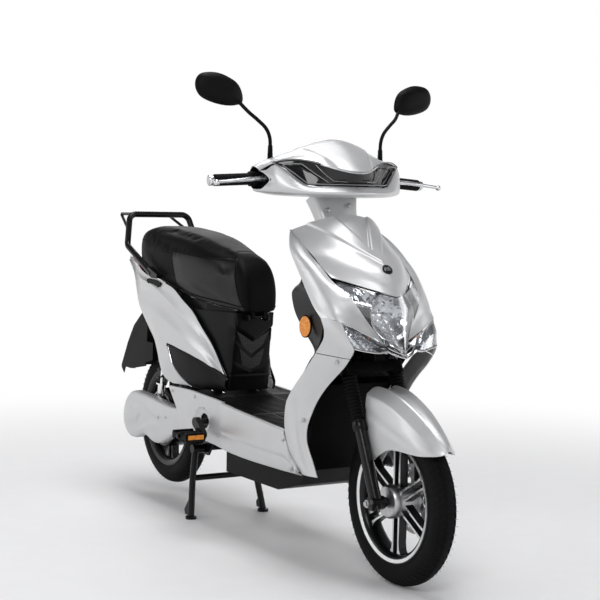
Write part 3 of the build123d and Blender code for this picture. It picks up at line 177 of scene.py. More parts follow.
def sweep(points, radius, sides=14, closed=False, flatten=1.0):
    """A round bar along points in metres; radius in metres, one or one per point."""
    points = np.asarray(points, float)
    radii = np.broadcast_to(radius, len(points))
    verts = []
    for point, size, (u, v) in zip(points, radii, frames_along(points, closed)):
        for k in range(sides):
            verts.append(point + size * (u * cos(tau * k / sides) + v * flatten * sin(tau * k / sides)))
    faces = grid_faces(len(points), sides, closed_rows=closed, closed_columns=True)
    if not closed:
        faces.append(tuple(range(sides))[::-1])
        faces.append(tuple((len(points) - 1) * sides + k for k in range(sides)))
    return np.array(verts), faces


def lathe(profile, centre, axis, sides=48):
    """A solid of revolution. The profile is a loop of (radius, distance along the axis) in millimetres."""
    axis = unit(axis)
    helper = (0, 0, 1) if abs(axis[2]) < 0.9 else (1, 0, 0)
    u = unit(np.cross(axis, helper))
    v = np.cross(axis, u)
    verts = []
    for k in range(sides):
        direction = u * cos(tau * k / sides) + v * sin(tau * k / sides)
        for radius, distance in profile:
            verts.append(centre + MM * (max(radius, 0.01) * direction + distance * axis))
    return np.array(verts), grid_faces(sides, len(profile), closed_rows=True, closed_columns=True)


def plate(outline, origin, x_dir, y_dir, thickness, holes=()):
    """A flat plate from an outline and holes in millimetres, grown along x_dir cross y_dir."""
    mesh = bmesh.new()
    for loop in [outline, *holes]:
        verts = [mesh.verts.new((px, py, 0)) for px, py in loop]
        for a, b in zip(verts, verts[1:] + verts[:1]):
            mesh.edges.new((a, b))
    bmesh.ops.triangle_fill(mesh, use_beauty=True, use_dissolve=False, edges=mesh.edges[:])
    grown = bmesh.ops.extrude_face_region(mesh, geom=mesh.faces[:])["geom"]
    bmesh.ops.translate(mesh, vec=(0, 0, thickness),
                        verts=[g for g in grown if isinstance(g, bmesh.types.BMVert)])
    bmesh.ops.recalc_face_normals(mesh, faces=mesh.faces[:])
    mesh.verts.index_update()
    x_dir, y_dir = unit(x_dir), unit(y_dir)
    verts = np.array([origin + MM * (v.co.x * x_dir + v.co.y * y_dir + v.co.z * np.cross(x_dir, y_dir))
                      for v in mesh.verts])
    faces = [tuple(v.index for v in face.verts) for face in mesh.faces]
    mesh.free()
    return verts, faces


def side_plate(outline, x, thickness, holes=()):
    """A plate in side view, outline (behind, height), from x towards the left."""
    return plate(outline, at((x, 0, 0)), *UPRIGHT, thickness, holes)


def circle(radius, centre=(0, 0), count=40, stretch=1.0, start=0.0):
    return [(centre[0] + radius * cos(start + tau * k / count),
             centre[1] + radius * stretch * sin(start + tau * k / count))
            for k in range(count)]


def turned(part, centre, axis, angle):
    verts, faces = part
    turn = np.array(Matrix.Rotation(angle, 3, Vector(axis)))
    return (verts - centre) @ turn.T + centre, faces


def spin(point, axle, angle):
    """A point in the wheel's plane: (radius, x) at an angle from straight up, about the axle."""
    radius, x = point
    return axle + MM * np.array((x, radius * sin(angle), radius * cos(angle)))


def screw(point, normal, radius=4.0):
    """A small domed screw head with a washer."""
    profile = [(0, -2), (radius * 1.5, -2), (radius * 1.5, 0.4), (radius, 0.7), (radius, 2.0),
               (radius * 0.7, 2.8),
               (radius * 0.35, 2.9), (radius * 0.3, 1.6), (0, 1.6)]
    return lathe(profile, at(point), normal, 20)


def piece(name, parts, material, body, replaces=(), bevel=0.4, smooth=40):
    """An object from mesh parts, riding on a body."""
    verts, faces, count = [], [], 0
    for part_verts, part_faces in parts:
        verts.append(part_verts)
        faces += [tuple(i + count for i in face) for face in part_faces]
        count += len(part_verts)
    mesh = bpy.data.meshes.new(name)
    mesh.from_pydata(np.concatenate(verts).tolist(), [], faces)
    mesh.validate()
    fixed = bmesh.new()
    fixed.from_mesh(mesh)
    bmesh.ops.remove_doubles(fixed, verts=fixed.verts[:], dist=1e-6)
    bmesh.ops.recalc_face_normals(fixed, faces=fixed.faces[:])
    fixed.to_mesh(mesh)
    fixed.free()
    mesh.shade_smooth()
    mesh.set_sharp_from_angle(angle=radians(smooth))
    obj = bpy.data.objects.new(name, mesh)
    bpy.context.scene.collection.objects.link(obj)
    obj.data.materials.append(material)
    if bevel:
        edge = obj.modifiers.new("edges", "BEVEL")
        edge.width = bevel * MM
        edge.segments = 2
        edge.limit_method = "ANGLE"
        edge.angle_limit = radians(50)
    if replaces:
        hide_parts(*replaces)
    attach(obj, body)
    return obj


# ---------------------------------------------------------------- materials
def material(name, colour, roughness, metallic=0.0, coat=0.0, grain=0.0, grain_scale=900.0, mottle=0.05,
             mottle_scale=14.0, stretch=(1, 1, 1), pattern="noise", depth=0.0006, specular=0.5):
    """A Principled surface whose colour and roughness wander a little and whose grain is a bump."""
    mat = bpy.data.materials.new(name)
    mat.use_nodes = True
    nodes, links = mat.node_tree.nodes, mat.node_tree.links
    surface_node = nodes["Principled BSDF"]
    surface_node.inputs["Metallic"].default_value = metallic
    surface_node.inputs["Coat Weight"].default_value = coat
    surface_node.inputs["Coat Roughness"].default_value = 0.06
    surface_node.inputs["Specular IOR Level"].default_value = specular
    where = nodes.new("ShaderNodeTexCoord")
    scaled = nodes.new("ShaderNodeMapping")
    scaled.inputs["Scale"].default_value = stretch
    links.new(where.outputs["Object"], scaled.inputs["Vector"])
    wander = nodes.new("ShaderNodeTexNoise")
    wander.inputs["Scale"].default_value = mottle_scale
    wander.inputs["Detail"].default_value = 4.0
    links.new(scaled.outputs["Vector"], wander.inputs["Vector"])
    shade = nodes.new("ShaderNodeValToRGB")
    shade.color_ramp.elements[0].position = 0.3
    shade.color_ramp.elements[1].position = 0.7
    shade.color_ramp.elements[0].color = [max(0.0, c * (1 - mottle)) for c in colour] + [1]
    shade.color_ramp.elements[1].color = [min(1.0, c * (1 + mottle)) for c in colour] + [1]
    links.new(wander.outputs["Fac"], shade.inputs["Fac"])
    links.new(shade.outputs["Color"], surface_node.inputs["Base Color"])
    rough = nodes.new("ShaderNodeMapRange")
    rough.inputs["To Min"].default_value = max(0.02, roughness * 0.82)
    rough.inputs["To Max"].default_value = min(1.0, roughness * 1.18)
    links.new(wander.outputs["Fac"], rough.inputs["Value"])
    links.new(rough.outputs["Result"], surface_node.inputs["Roughness"])
    if grain:
        kinds = {"noise": "ShaderNodeTexNoise", "cells": "ShaderNodeTexVoronoi", "waves": "ShaderNodeTexWave"}
        fine = nodes.new(kinds[pattern])
        fine.inputs["Scale"].default_value = grain_scale
        links.new(scaled.outputs["Vector"], fine.inputs["Vector"])
        bump = nodes.new("ShaderNodeBump")
        bump.inputs["Strength"].default_value = grain
        bump.inputs["Distance"].default_value = depth
        links.new(fine.outputs[0], bump.inputs["Height"])
        links.new(bump.outputs["Normal"], surface_node.inputs["Normal"])
    return mat


def clear_material(name, tint, see_through, roughness=0.03):
    """A thin clear moulding: mostly see-through, glossier at grazing angles."""
    mat = bpy.data.materials.new(name)
    mat.use_nodes = True
    nodes, links = mat.node_tree.nodes, mat.node_tree.links
    nodes.remove(nodes["Principled BSDF"])
    clear = nodes.new("ShaderNodeBsdfTransparent")
    clear.inputs["Color"].default_value = (*tint, 1)
    gloss = nodes.new("ShaderNodeBsdfGlossy")
    gloss.inputs["Roughness"].default_value = roughness
    facing = nodes.new("ShaderNodeLayerWeight")
    facing.inputs["Blend"].default_value = 0.25
    amount = nodes.new("ShaderNodeMapRange")
    amount.inputs["To Min"].default_value = 1 - see_through
    amount.inputs["To Max"].default_value = 0.75
    links.new(facing.outputs["Fresnel"], amount.inputs["Value"])
    waves = nodes.new("ShaderNodeTexNoise")
    waves.inputs["Scale"].default_value = 60.0
    bump = nodes.new("ShaderNodeBump")
    bump.inputs["Strength"].default_value = 0.1
    bump.inputs["Distance"].default_value = 0.001
    links.new(waves.outputs["Fac"], bump.inputs["Height"])
    links.new(bump.outputs["Normal"], gloss.inputs["Normal"])
    mix = nodes.new("ShaderNodeMixShader")
    links.new(amount.outputs["Result"], mix.inputs["Fac"])
    links.new(clear.outputs["BSDF"], mix.inputs[1])
    links.new(gloss.outputs["BSDF"], mix.inputs[2])
    links.new(mix.outputs["Shader"], nodes["Material Output"].inputs["Surface"])
    return mat


def weave_material(name):
    """Carbon-look weave on a dark moulding."""
    mat = material(name, (0.018, 0.018, 0.02), 0.32, specular=0.3)
    nodes, links = mat.node_tree.nodes, mat.node_tree.links
    surface_node = nodes["Principled BSDF"]
    where = nodes.new("ShaderNodeTexCoord")
    tilt = nodes.new("ShaderNodeMapping")
    tilt.inputs["Rotation"].default_value = (0, radians(45), 0)
    checks = nodes.new("ShaderNodeTexChecker")
    checks.inputs["Scale"].default_value = 260.0
    checks.inputs["Color1"].default_value = (0.005, 0.005, 0.006, 1)
    checks.inputs["Color2"].default_value = (0.035, 0.035, 0.037, 1)
    bump = nodes.new("ShaderNodeBump")
    bump.inputs["Strength"].default_value = 0.5
    bump.inputs["Distance"].default_value = 0.0006
    links.new(where.outputs["Object"], tilt.inputs["Vector"])
    links.new(tilt.outputs["Vector"], checks.inputs["Vector"])
    links.new(checks.outputs["Color"], surface_node.inputs["Base Color"])
    links.new(checks.outputs["Fac"], bump.inputs["Height"])
    links.new(bump.outputs["Normal"], surface_node.inputs["Normal"])
    return mat


PAINT = material("silver_paint", (0.56, 0.562, 0.568), 0.4, metallic=0.5, coat=0.25, grain=0.12,
                 grain_scale=2600,
                 mottle=0.03, depth=0.0003)
BLACK = material("black_plastic", (0.003, 0.003, 0.0033), 0.45, grain=0.3, grain_scale=1400, mottle=0.25,
                 specular=0.08)
SATIN = material("dark_panel", (0.0035, 0.0035, 0.0038), 0.34, grain=0.22, grain_scale=1600, mottle=0.2,
                 specular=0.13)
GLOSS = material("gloss_black", (0.004, 0.004, 0.0045), 0.06, mottle=0.2, specular=0.5)
FRAME_PAINT = material("frame_paint", (0.003, 0.003, 0.0033), 0.26, grain=0.15, grain_scale=700, mottle=0.2,
                       specular=0.22)
RUBBER = material("rubber", (0.0035, 0.0035, 0.0035), 0.55, grain=0.5, grain_scale=900, mottle=0.25,
                  specular=0.08)
TYRE = material("tyre_rubber", (0.0045, 0.0045, 0.0048), 0.62, grain=0.6, grain_scale=1200, mottle=0.3,
                specular=0.08)
MAT_RUBBER = material("floor_rubber", (0.003, 0.003, 0.0033), 0.48, grain=0.7, grain_scale=500,
                      pattern="cells",
                      mottle=0.25, specular=0.1)
VINYL = material("seat_vinyl", (0.0022, 0.0022, 0.0024), 0.5, grain=0.5, grain_scale=420, pattern="cells",
                 mottle=0.25,
                 depth=0.0005, specular=0.07)
LEATHER = material("seat_side_vinyl", (0.0022, 0.0022, 0.0024), 0.36, grain=0.6, grain_scale=330,
                   pattern="cells",
                   mottle=0.25, depth=0.0005, specular=0.3)
THREAD = material("seat_thread", (0.012, 0.012, 0.0125), 0.6, grain=0.6, grain_scale=2400, mottle=0.2,
                  specular=0.2)
CHROME = material("chrome", (0.82, 0.82, 0.83), 0.08, metallic=1.0, mottle=0.03)
STEEL = material("steel", (0.5, 0.5, 0.51), 0.3, metallic=1.0, grain=0.25, grain_scale=300, stretch=(1, 8, 8),
                 mottle=0.08)
ALLOY = material("bright_alloy", (0.66, 0.665, 0.68), 0.26, metallic=0.95, grain=0.2, grain_scale=700,
                 mottle=0.06)
MACHINED = material("machined_alloy", (0.72, 0.725, 0.735), 0.22, metallic=1.0, grain=0.25, grain_scale=500,
                    stretch=(1, 6, 1), mottle=0.05)
DARK_ALLOY = material("black_alloy", (0.003, 0.003, 0.0033), 0.26, grain=0.15, mottle=0.2, specular=0.3)
GREY = material("grey_plastic", (0.34, 0.345, 0.355), 0.34, metallic=0.45, coat=0.3, grain=0.2,
                grain_scale=1500,
                mottle=0.05)
AMBER = material("amber_lens", (0.72, 0.24, 0.01), 0.15, coat=0.7, grain=0.8, grain_scale=190,
                 pattern="cells",
                 mottle=0.25, mottle_scale=120, depth=0.0015)
RED = material("red_lens", (0.2, 0.006, 0.006), 0.12, coat=0.6, grain=0.6, grain_scale=150, pattern="cells",
               mottle=0.2, mottle_scale=90, depth=0.0012)
REFLECTOR = material("lamp_reflector", (0.9, 0.9, 0.91), 0.16, metallic=1.0, mottle=0.06, mottle_scale=40)
SMOKE = material("smoked_trim", (0.3, 0.3, 0.305), 0.16, metallic=0.8, mottle=0.15)
MIRROR = material("mirror_glass", (0.85, 0.86, 0.87), 0.02, metallic=1.0, mottle=0.01)
CLEAR = clear_material("clear_lens", (0.93, 0.94, 0.95), 0.9)
WEAVE = weave_material("carbon_weave")

FINISH = {
    "frame_paint": FRAME_PAINT, "steel": STEEL, "black_rubber": RUBBER, "black_alloy": DARK_ALLOY,
    "tyre": TYRE,
    "body_paint": PAINT, "black_plastic": BLACK, "bright_alloy": ALLOY, "gloss_black": GLOSS,
    "clear_lens": CLEAR,
    "reflector_chrome": REFLECTOR, "amber_lens": AMBER, "seat_vinyl": VINYL, "red_lens": RED,
    "grey_plastic": GREY,
    "chrome": CHROME,
}
SLOTS = {finish.name: slot for slot, finish in FINISH.items()}
SLOTS.update({"dark_panel": "black_plastic", "floor_rubber": "black_rubber", "seat_thread": "seat_vinyl",
              "machined_alloy": "bright_alloy", "smoked_trim": "bright_alloy", "mirror_glass": "chrome",
              "carbon_weave": "gloss_black"})
for subpart in frame["record"]["subparts"]:
    cad_node = frame["nodes"][subpart["node"]]
    cad_node.data.materials.clear()
    cad_node.data.materials.append(FINISH[subpart["material_slot"]])

# ---------------------------------------------------------------- front cover
COLUMNS = (-1, -0.8, -0.6, -0.4, -0.2, 0, 0.2, 0.4, 0.6, 0.8, 1)


def bowed(rows):
    """Rows across the front, each (half width, side place, side height, centre place, centre height,
    power, power)."""
    return [[(s * half, mid_b + (side_b - mid_b) * abs(s) ** power_b,
              mid_z + (side_z - mid_z) * abs(s) ** power_z)
             for s in COLUMNS] for half, side_b, side_z, mid_b, mid_z, power_b, power_z in rows]


def cover_relief(x, behind, z):
    hood = z - (808 + np.abs(x) * 0.93)
    plateau = z - (842 + np.abs(x) * 1.75)
    return 5.0 * smooth_step(hood, 0, 7) + 2.5 * smooth_step(hood, -60, 0) - 6.5 * smooth_step(plateau, 0, 9)


cover_rows = bowed([
    (136, 340, 894, 251, 936, 2.0, 1.8),
    (137, 300, 872, 205, 886, 2.2, 2.0),
    (137, 262, 851, 161, 846, 2.3, 2.0),
    (135, 228, 832, 121, 822, 2.2, 1.9),
    (132, 201, 811, 85, 800, 2.0, 1.7),
    (128, 176, 793, 55, 768, 1.7, 1.45),
    (124, 152, 778, 34, 734, 1.35, 1.15),
])
cover_grid = relief(surface(cover_rows, 16, 14), cover_relief)
piece("front_cover_shell", [skin(cover_grid, 3)], PAINT, BODY, ["front_cover"])

badge_at = (0, 80.5, 800)
badge_normal = unit((0, -0.78, 0.62))
badge_ring = [(0, -1), (14.5, -1), (15, 1.5), (13.6, 2.2), (12.8, 1.4), (0, 1.4)]
piece("badge_rim", [lathe(badge_ring, at(badge_at), badge_normal, 40)], GLOSS, BODY)
badge_up = unit(np.cross(badge_normal, X_AXIS))
wave = [(-9, -4), (-5, 1), (0, -3), (5, 1), (9, -4), (9, -1), (5, 4), (0, 0), (-5, 4), (-9, -1)]
badge_bars = [plate(wave, at(badge_at) + badge_normal * 1.2 * MM + badge_up * lift * MM, X_AXIS, badge_up,
                    0.7)
              for lift in (-1.5, 4.5)]
piece("badge_mark", badge_bars, CHROME, BODY, bevel=0.15)

# ---------------------------------------------------------------- leg shield wings and foot straps
wing_upper = [
    [(-139.5, 338, 893), (-138.8, 339, 893.5), (-138, 340, 894), (-137, 341, 894), (-136, 342, 894)],
    [(-156, 311, 868), (-153.5, 308, 871), (-149, 303, 872), (-143, 299, 872), (-136.5, 297, 869)],
    [(-167, 286, 842), (-166, 272, 842), (-160, 255, 839), (-148, 242, 836), (-135.5, 236, 832)],
    [(-170, 250, 805), (-170, 230, 806), (-163, 207, 805), (-149, 192, 804), (-131.5, 188, 801)],
    [(-171, 221, 773), (-171, 197, 774), (-163, 172, 775), (-147, 154, 774), (-127, 146, 771)],
    [(-171, 194, 740), (-169, 168, 740), (-160, 140, 742), (-140, 120, 744), (-113, 105, 743)],
    [(-171, 164, 707), (-166, 136, 708), (-153, 108, 712), (-131, 92, 715), (-101, 76, 717)],
    [(-170, 145, 690), (-162, 116, 689), (-147, 88, 688), (-112, 68, 682), (-71, 58, 668)],
    [(-169, 128, 676), (-158, 98, 675), (-142, 70, 669), (-93, 49, 645), (-32, 40, 614)],
]
wing_lower = [
    [(-169, 128, 676), (-164, 112, 675.5), (-158, 98, 675), (-150, 83, 672), (-142, 70, 669)],
    [(-167, 118, 655), (-162, 101, 653), (-156, 86, 651), (-148, 70, 648), (-139.5, 58, 646)],
    [(-165, 117, 642), (-160, 98, 637), (-153, 79, 632), (-144, 60, 627), (-134, 44, 622)],
    [(-163.5, 122, 624), (-158, 101, 619), (-151, 78, 614), (-141, 55, 609), (-128.5, 34, 604)],
    [(-162.5, 140, 604), (-157, 115, 601), (-150, 88, 598), (-141, 61, 595), (-128.5, 37, 592)],
    [(-162, 160, 585), (-158, 133, 583.5), (-151, 104, 582), (-142, 75, 580), (-129.5, 48, 578)],
]
strap_rows = [
    [(-162, 161, 583), (-158, 134, 581.5), (-151, 105, 580), (-142, 76, 578), (-129.5, 49, 576)],
    [(-161.5, 195, 551), (-159, 167, 551), (-153, 138, 551), (-144, 107, 550), (-131, 77, 549)],
    [(-161, 232, 517), (-160, 204, 518), (-155, 174, 519), (-147, 143, 520), (-133.5, 113, 521)],
    [(-160.5, 268, 485), (-160.5, 241, 487), (-157, 211, 488), (-150, 180, 489), (-137.5, 149, 490)],
    [(-160, 294, 458), (-161, 268, 458), (-159, 238, 457), (-153, 209, 456), (-141.5, 181, 454)],
    [(-160, 309, 434), (-161.5, 284, 432), (-160, 255, 429), (-155, 227, 426), (-145, 200, 422)],
    [(-160, 315, 400), (-162, 292, 397), (-161, 266, 393), (-157, 241, 389), (-148, 217, 384)],
    [(-160, 312, 362), (-162, 290, 359), (-161, 266, 356), (-157, 242, 352), (-148.5, 219, 349)],
    [(-159, 298, 326), (-161, 277, 325), (-160, 255, 325), (-155, 232, 325), (-147, 209, 324)],
    [(-157, 275, 294), (-159, 255, 294), (-157, 235, 294), (-152, 214, 294), (-144.5, 192, 294)],
    [(-151, 234, 256), (-152.5, 219, 256), (-151, 204, 256), (-147, 189, 256), (-141, 174, 256)],
]


def wing_relief(x, behind, z):
    ridge = behind - (190 + (z - 700) * 0.62)
    return 2.5 * np.exp(-(ridge / 26) ** 2) * smooth_step(z, 640, 700)


def strap_relief(x, behind, z):
    """A shallow valley that runs down the strap and widens at its foot."""
    valley = behind - (268 - np.clip((430 - z) / 175, 0, 1) ** 2 * 52)
    fade = smooth_step(z, 262, 290) * (1 - smooth_step(z, 425, 475))
    return -5.0 * fade * np.exp(-(valley / 13) ** 2)


wing_grid = relief(surface(wing_upper, 10, 10), wing_relief)
lower_grid = surface(wing_lower, 10, 10)
strap_grid = relief(surface(strap_rows, 10, 12), strap_relief)
piece("leg_shield_wings", both(skin(wing_grid, 3)) + both(skin(lower_grid, 3)), PAINT, BODY,
      ["leg_shield"])
piece("foot_straps", both(skin(strap_grid, 3)), PAINT, BODY)
strap_screws = [((-147, 86, 566), (-0.85, -0.5, 0)), ((-148, 206, 273), (-0.9, -0.42, 0)),
                ((-157, 226, 400), (-0.9, -0.42, 0))]
piece("shield_screws", [part for spot, out in strap_screws for part in both(screw(spot, unit(out)))], STEEL,
      BODY, bevel=0)

# ---------------------------------------------------------------- headlight
lens_rows = bowed([
    (121, 139, 770, 38, 737, 1.9, 1.6),
    (100, 77, 716, 27, 702, 2.0, 1.8),
    (70, 60, 668, 12, 662, 2.0, 1.9),
    (49, 50, 636, -1, 622, 1.9, 1.7),
    (34, 30, 608, -12, 584, 1.3, 1.2),
])
lens_grid = surface(lens_rows, 10, 8)
signal_rows = [
    [(-140, 68, 666), (-122, 58, 659), (-94, 46, 644), (-64, 40, 629), (-36, 38, 612)],
    [(-138, 48, 639), (-122, 40, 635), (-94, 30, 624), (-66, 24, 613), (-40, 22, 605)],
    [(-127, 34, 607), (-114, 28, 604), (-92, 21, 600), (-68, 15, 597), (-42, 9, 600)],
]
signal_grid = surface(signal_rows, 10, 10)
piece("headlight_glass", [skin(lens_grid, 2)] + both(skin(signal_grid, 2)), CLEAR, BODY,
      ["headlight_lens"], bevel=0)


def set_back(grid, depth):
    return grid - grid_normals(grid) * depth


def facets(x, behind, z):
    return 3.0 * np.abs(((x / 17) + (z / 23)) % 1 - 0.5) + 2.5 * np.abs(((x / 13) - (z / 19)) % 1 - 0.5)


bowl_back = relief(set_back(lens_grid, 16), lambda x, b,
                   z: -62 * np.exp(-((x / 72) ** 2 + ((z - 684) / 62) ** 2) ** 2)
                   + facets(x, b, z))
signal_back = relief(set_back(signal_grid, 9), facets)
piece("lamp_reflectors", [skin(bowl_back, 1.5)] + both(skin(signal_back, 1.5)), REFLECTOR, BODY,
      ["headlight_housing"], bevel=0, smooth=12)
LAMP = (0, 70, 682)
lamp_axis = unit((0, -1, 0.12))
lamp_bowl = [(8, -16), (24, -12), (42, -3), (56, 8), (64, 17), (67, 17.6), (67, 14), (58, 4), (44, -7),
             (26, -16), (8, -20)]
piece("lamp_bowl", [lathe(lamp_bowl, at(LAMP), lamp_axis, 24)], REFLECTOR, BODY, smooth=10,
      bevel=0)
bulb = [(0, 18), (6, 16), (9, 10), (9, -14), (0, -14)]
ribs = []
for k in range(9):
    angle = tau * k / 9
    spot = at(LAMP) + MM * (36 * cos(angle) * X_AXIS + 36 * sin(angle) * np.cross(lamp_axis,
            X_AXIS) + 5 * lamp_axis)
    ribs.append(lathe([(0, 4), (4, 3), (6.5, 0), (0, 0)], spot, lamp_axis, 12))
piece("lamp_bulb", [lathe(bulb, at(LAMP), lamp_axis, 24)] + ribs, CHROME, BODY, bevel=0)
signal_bulbs = [lathe([(0, 9), (5, 8), (8, 3), (8, -8), (0, -8)], at((x, b, z)), unit((x / 150, -0.8, 0.2)),
                      18)
             for x, b, z in ((-104, 60, 632), (104, 60, 632), (-76, 52, 624), (76, 52, 624))]
piece("signal_bulbs", signal_bulbs, AMBER, BODY, bevel=0)


def strip(points, radius, flatten=1.0, steps=8, sharp=()):
    return sweep(at(curve(points, steps, sharp)), radius * MM, 8, flatten=flatten)


lens_frame = [
    strip([(-127, 32, 605), (-112, 26, 601), (-90, 19, 597), (-66, 13, 594), (-44, 6, 598), (-30, 0, 590),
           (0, -14, 580.5), (30, 0, 590), (44, 6, 598), (66, 13, 594), (90, 19, 597), (112, 26, 601),
           (127, 32, 605)], 2.4, sharp=(4, 6, 8)),
    strip([(-40, 9, 606), (-24, -2, 597), (0, -12, 588.5), (24, -2, 597), (40, 9, 606)], 1.8, sharp=(2,)),
    strip([(-34, 12, 614), (-20, 0, 606), (0, -10, 598), (20, 0, 606), (34, 12, 614)], 1.3, sharp=(2,)),
] + both(strip([(-36, 36, 611), (-64, 38, 628), (-94, 44, 643), (-122, 56, 658), (-140, 66, 665)], 1.5))
piece("lens_trim", lens_frame, CHROME, BODY, bevel=0)
seal = strip([(-124, 150, 775), (-100, 119, 766), (-74, 88, 753), (-50, 63, 744), (-25, 46, 737),
              (0, 37, 732),
              (25, 46, 737), (50, 63, 744), (74, 88, 753), (100, 119, 766), (124, 150, 775)], 1.3)
piece("cover_seal", [seal], BLACK, BODY, bevel=0)

# ---------------------------------------------------------------- dark inner shield and side reflectors
inner_rows = []
for height, edge_half, edge, corner_half, corner, middle in (
        (372, 148, 298, 118, 322, 330), (430, 152, 300, 118, 316, 322), (480, 153, 268, 118, 300, 312),
        (520, 154, 236, 118, 270, 302), (560, 155, 200, 122, 236, 298), (589, 155, 168, 128, 225, 300),
        (634, 158, 138, 138, 261, 312), (679, 160, 138, 149, 288, 322), (724, 163, 190, 152, 302, 330),
        (742, 163, 206, 146, 300, 330), (768, 162, 232, 124, 300, 334), (843, 154, 292, 108, 340, 356),
        (892, 138, 338, 100, 366, 380)):
    inner_rows.append([(-edge_half, edge, height), (-corner_half, corner, height), (-60, middle, height),
                       (60, middle, height), (corner_half, corner, height), (edge_half, edge, height)])
inner_grid = surface(inner_rows, 5, 8, sharp_columns=(1, 4))
piece("inner_shield_skin", [skin(inner_grid, 2.5)], SATIN, BODY, ["inner_leg_shield"])
SIDE_LAMP = (-160, 214, 648)
side_lamp_out = unit((-0.9, -0.44, 0.0))
side_lamp_wide = unit(np.cross((0, 0, 1), side_lamp_out))
oval = [(0.62 * px, py) for px, py in circle(27, count=8, start=pi / 8)]
rim_oval = [(0.62 * px, py) for px, py in circle(30, count=8, start=pi / 8)]
piece("side_reflector_lenses", both(plate(closed_curve(oval, 5).tolist(), at(SIDE_LAMP), side_lamp_wide,
                                          (0, 0, 1), 6)),
      AMBER, BODY, ["side_reflectors"], bevel=1.5)
piece("side_reflector_rims",
      both(plate(closed_curve(rim_oval, 5).tolist(), at(SIDE_LAMP) - side_lamp_out * MM, side_lamp_wide,
                 (0, 0, 1), 4)),
      BLACK, BODY, bevel=1)

liner_rows = [[(x, behind, height) for x in (-wide, -wide * 0.5, 0, wide * 0.5, wide)]
              for wide, behind, height in ((24, 2, 590), (70, 24, 604), (116, 52, 610), (118, 110, 606),
                                           (112, 170, 606),
                                           (100, 230, 606))]
liner_grid = surface(liner_rows[::-1], 4, 4)
piece("front_liner", [skin(liner_grid, 2.5)], BLACK, BODY, bevel=0)

# ---------------------------------------------------------------- handlebar cowl
def across_rows(table):
    """Rows of points from a table of x: [(behind, height), ...]."""
    return [[(x, behind, height) for behind, height in points] for x, points in table.items()]


# right half, from the middle out: each row runs from the rear crest over the top to the visor edge
cowl_top = across_rows({
    0: [(408, 1118), (380, 1138), (348, 1138), (305, 1118), (258, 1086), (216, 1048)],
    -40: [(408, 1114), (382, 1132), (350, 1132), (308, 1112), (264, 1084), (232, 1053)],
    -80: [(408, 1105), (388, 1120), (356, 1121), (316, 1104), (284, 1086), (266, 1067)],
    -122: [(408, 1093), (392, 1104), (364, 1106), (332, 1094), (310, 1087), (296, 1078)],
    -165: [(408, 1080), (395, 1088), (374, 1090), (350, 1082), (336, 1082), (322, 1079)],
    -200: [(407, 1069), (397, 1075), (382, 1076), (366, 1070), (350, 1071), (338, 1070)],
    -225: [(405, 1058), (397, 1063), (388, 1063), (378, 1060), (368, 1056), (360, 1051)],
})


def both_halves(rows):
    """Rows from the middle out, mirrored to run right across the scooter from right to left."""
    rows = np.array(rows, float)
    return np.concatenate([rows[:0:-1], rows * (-1, 1, 1)])


def hump_relief(x, behind, z):
    """The raised tongue in the middle of the cowl and the crease that runs out to each side."""
    width = 44 + (behind - 214) * 0.42
    return 5.0 * (1 - smooth_step(np.abs(x), width - 6, width + 6)) * (1 - smooth_step(behind, 330, 385))


cowl_grid = relief(surface(both_halves(cowl_top)[::-1], 8, 8), hump_relief)
cowl_lower = [
    [(0, 236, 1012), (0, 222, 1003), (0, 214, 995), (0, 222, 987), (0, 262, 983), (0, 330, 982),
     (0, 395, 983)],
    [(-45, 240, 1012), (-45, 227, 1003), (-45, 219, 995), (-45, 227, 987), (-45, 266, 983), (-45, 330, 982),
     (-45, 395, 983)],
    [(-90, 256, 1012), (-90, 243, 1003), (-90, 235, 995), (-90, 243, 988), (-90, 278, 984), (-90, 335, 983),
     (-90, 396, 984)],
    [(-130, 280, 1014), (-130, 267, 1006), (-130, 259, 997), (-130, 266, 989), (-130, 296, 985),
     (-130, 342, 984),
     (-130, 397, 985)],
    [(-165, 306, 1044), (-165, 292, 1018), (-165, 286, 1003), (-165, 292, 992), (-165, 314, 987),
     (-165, 350, 986),
     (-165, 397, 987)],
    [(-193, 330, 1065), (-193, 316, 1036), (-193, 310, 1012), (-193, 314, 997), (-193, 330, 991),
     (-193, 360, 990),
     (-193, 396, 991)],
    [(-212, 346, 1052), (-206, 330, 1039), (-201, 322, 1022), (-208, 330, 1004), (-214, 344, 996),
     (-218, 366, 994),
     (-220, 394, 996)],
    [(-225, 358, 1050), (-217, 346, 1042), (-207, 336, 1026), (-217, 344, 1009), (-222, 354, 1002),
     (-225, 370, 1000),
     (-225, 394, 1002)],
]
lower_cowl_grid = surface(both_halves(cowl_lower)[::-1], 6, 6)
piece("cowl_shell", [skin(cowl_grid, 3), skin(lower_cowl_grid, 3)], PAINT, STEERED, ["cowl_front"])
cowl_back = across_rows({
    0: [(406, 1116), (420, 1104), (438, 1068), (436, 1030), (418, 998), (396, 984)],
    -90: [(406, 1101), (420, 1090), (436, 1058), (433, 1026), (416, 1000), (397, 985)],
    -165: [(406, 1079), (416, 1070), (428, 1048), (426, 1024), (412, 1002), (398, 988)],
    -224: [(404, 1057), (410, 1052), (418, 1040), (418, 1024), (410, 1012), (396, 1003)],
})
cowl_back_grid = surface(both_halves(cowl_back), 8, 6)
gauge = [(-62, -26), (62, -26), (70, 0), (58, 26), (-58, 26), (-70, 0)]
gauge_up = unit((0, -0.55, 0.83))
gauge_face = plate(closed_curve(gauge, 6).tolist(), at((0, 428, 1072)), -X_AXIS, gauge_up, 5)
piece("cowl_back_skin", [skin(cowl_back_grid, 2.5)], SATIN, STEERED, ["cowl_rear"])
piece("gauge_glass", [gauge_face], GLOSS, STEERED, bevel=1)
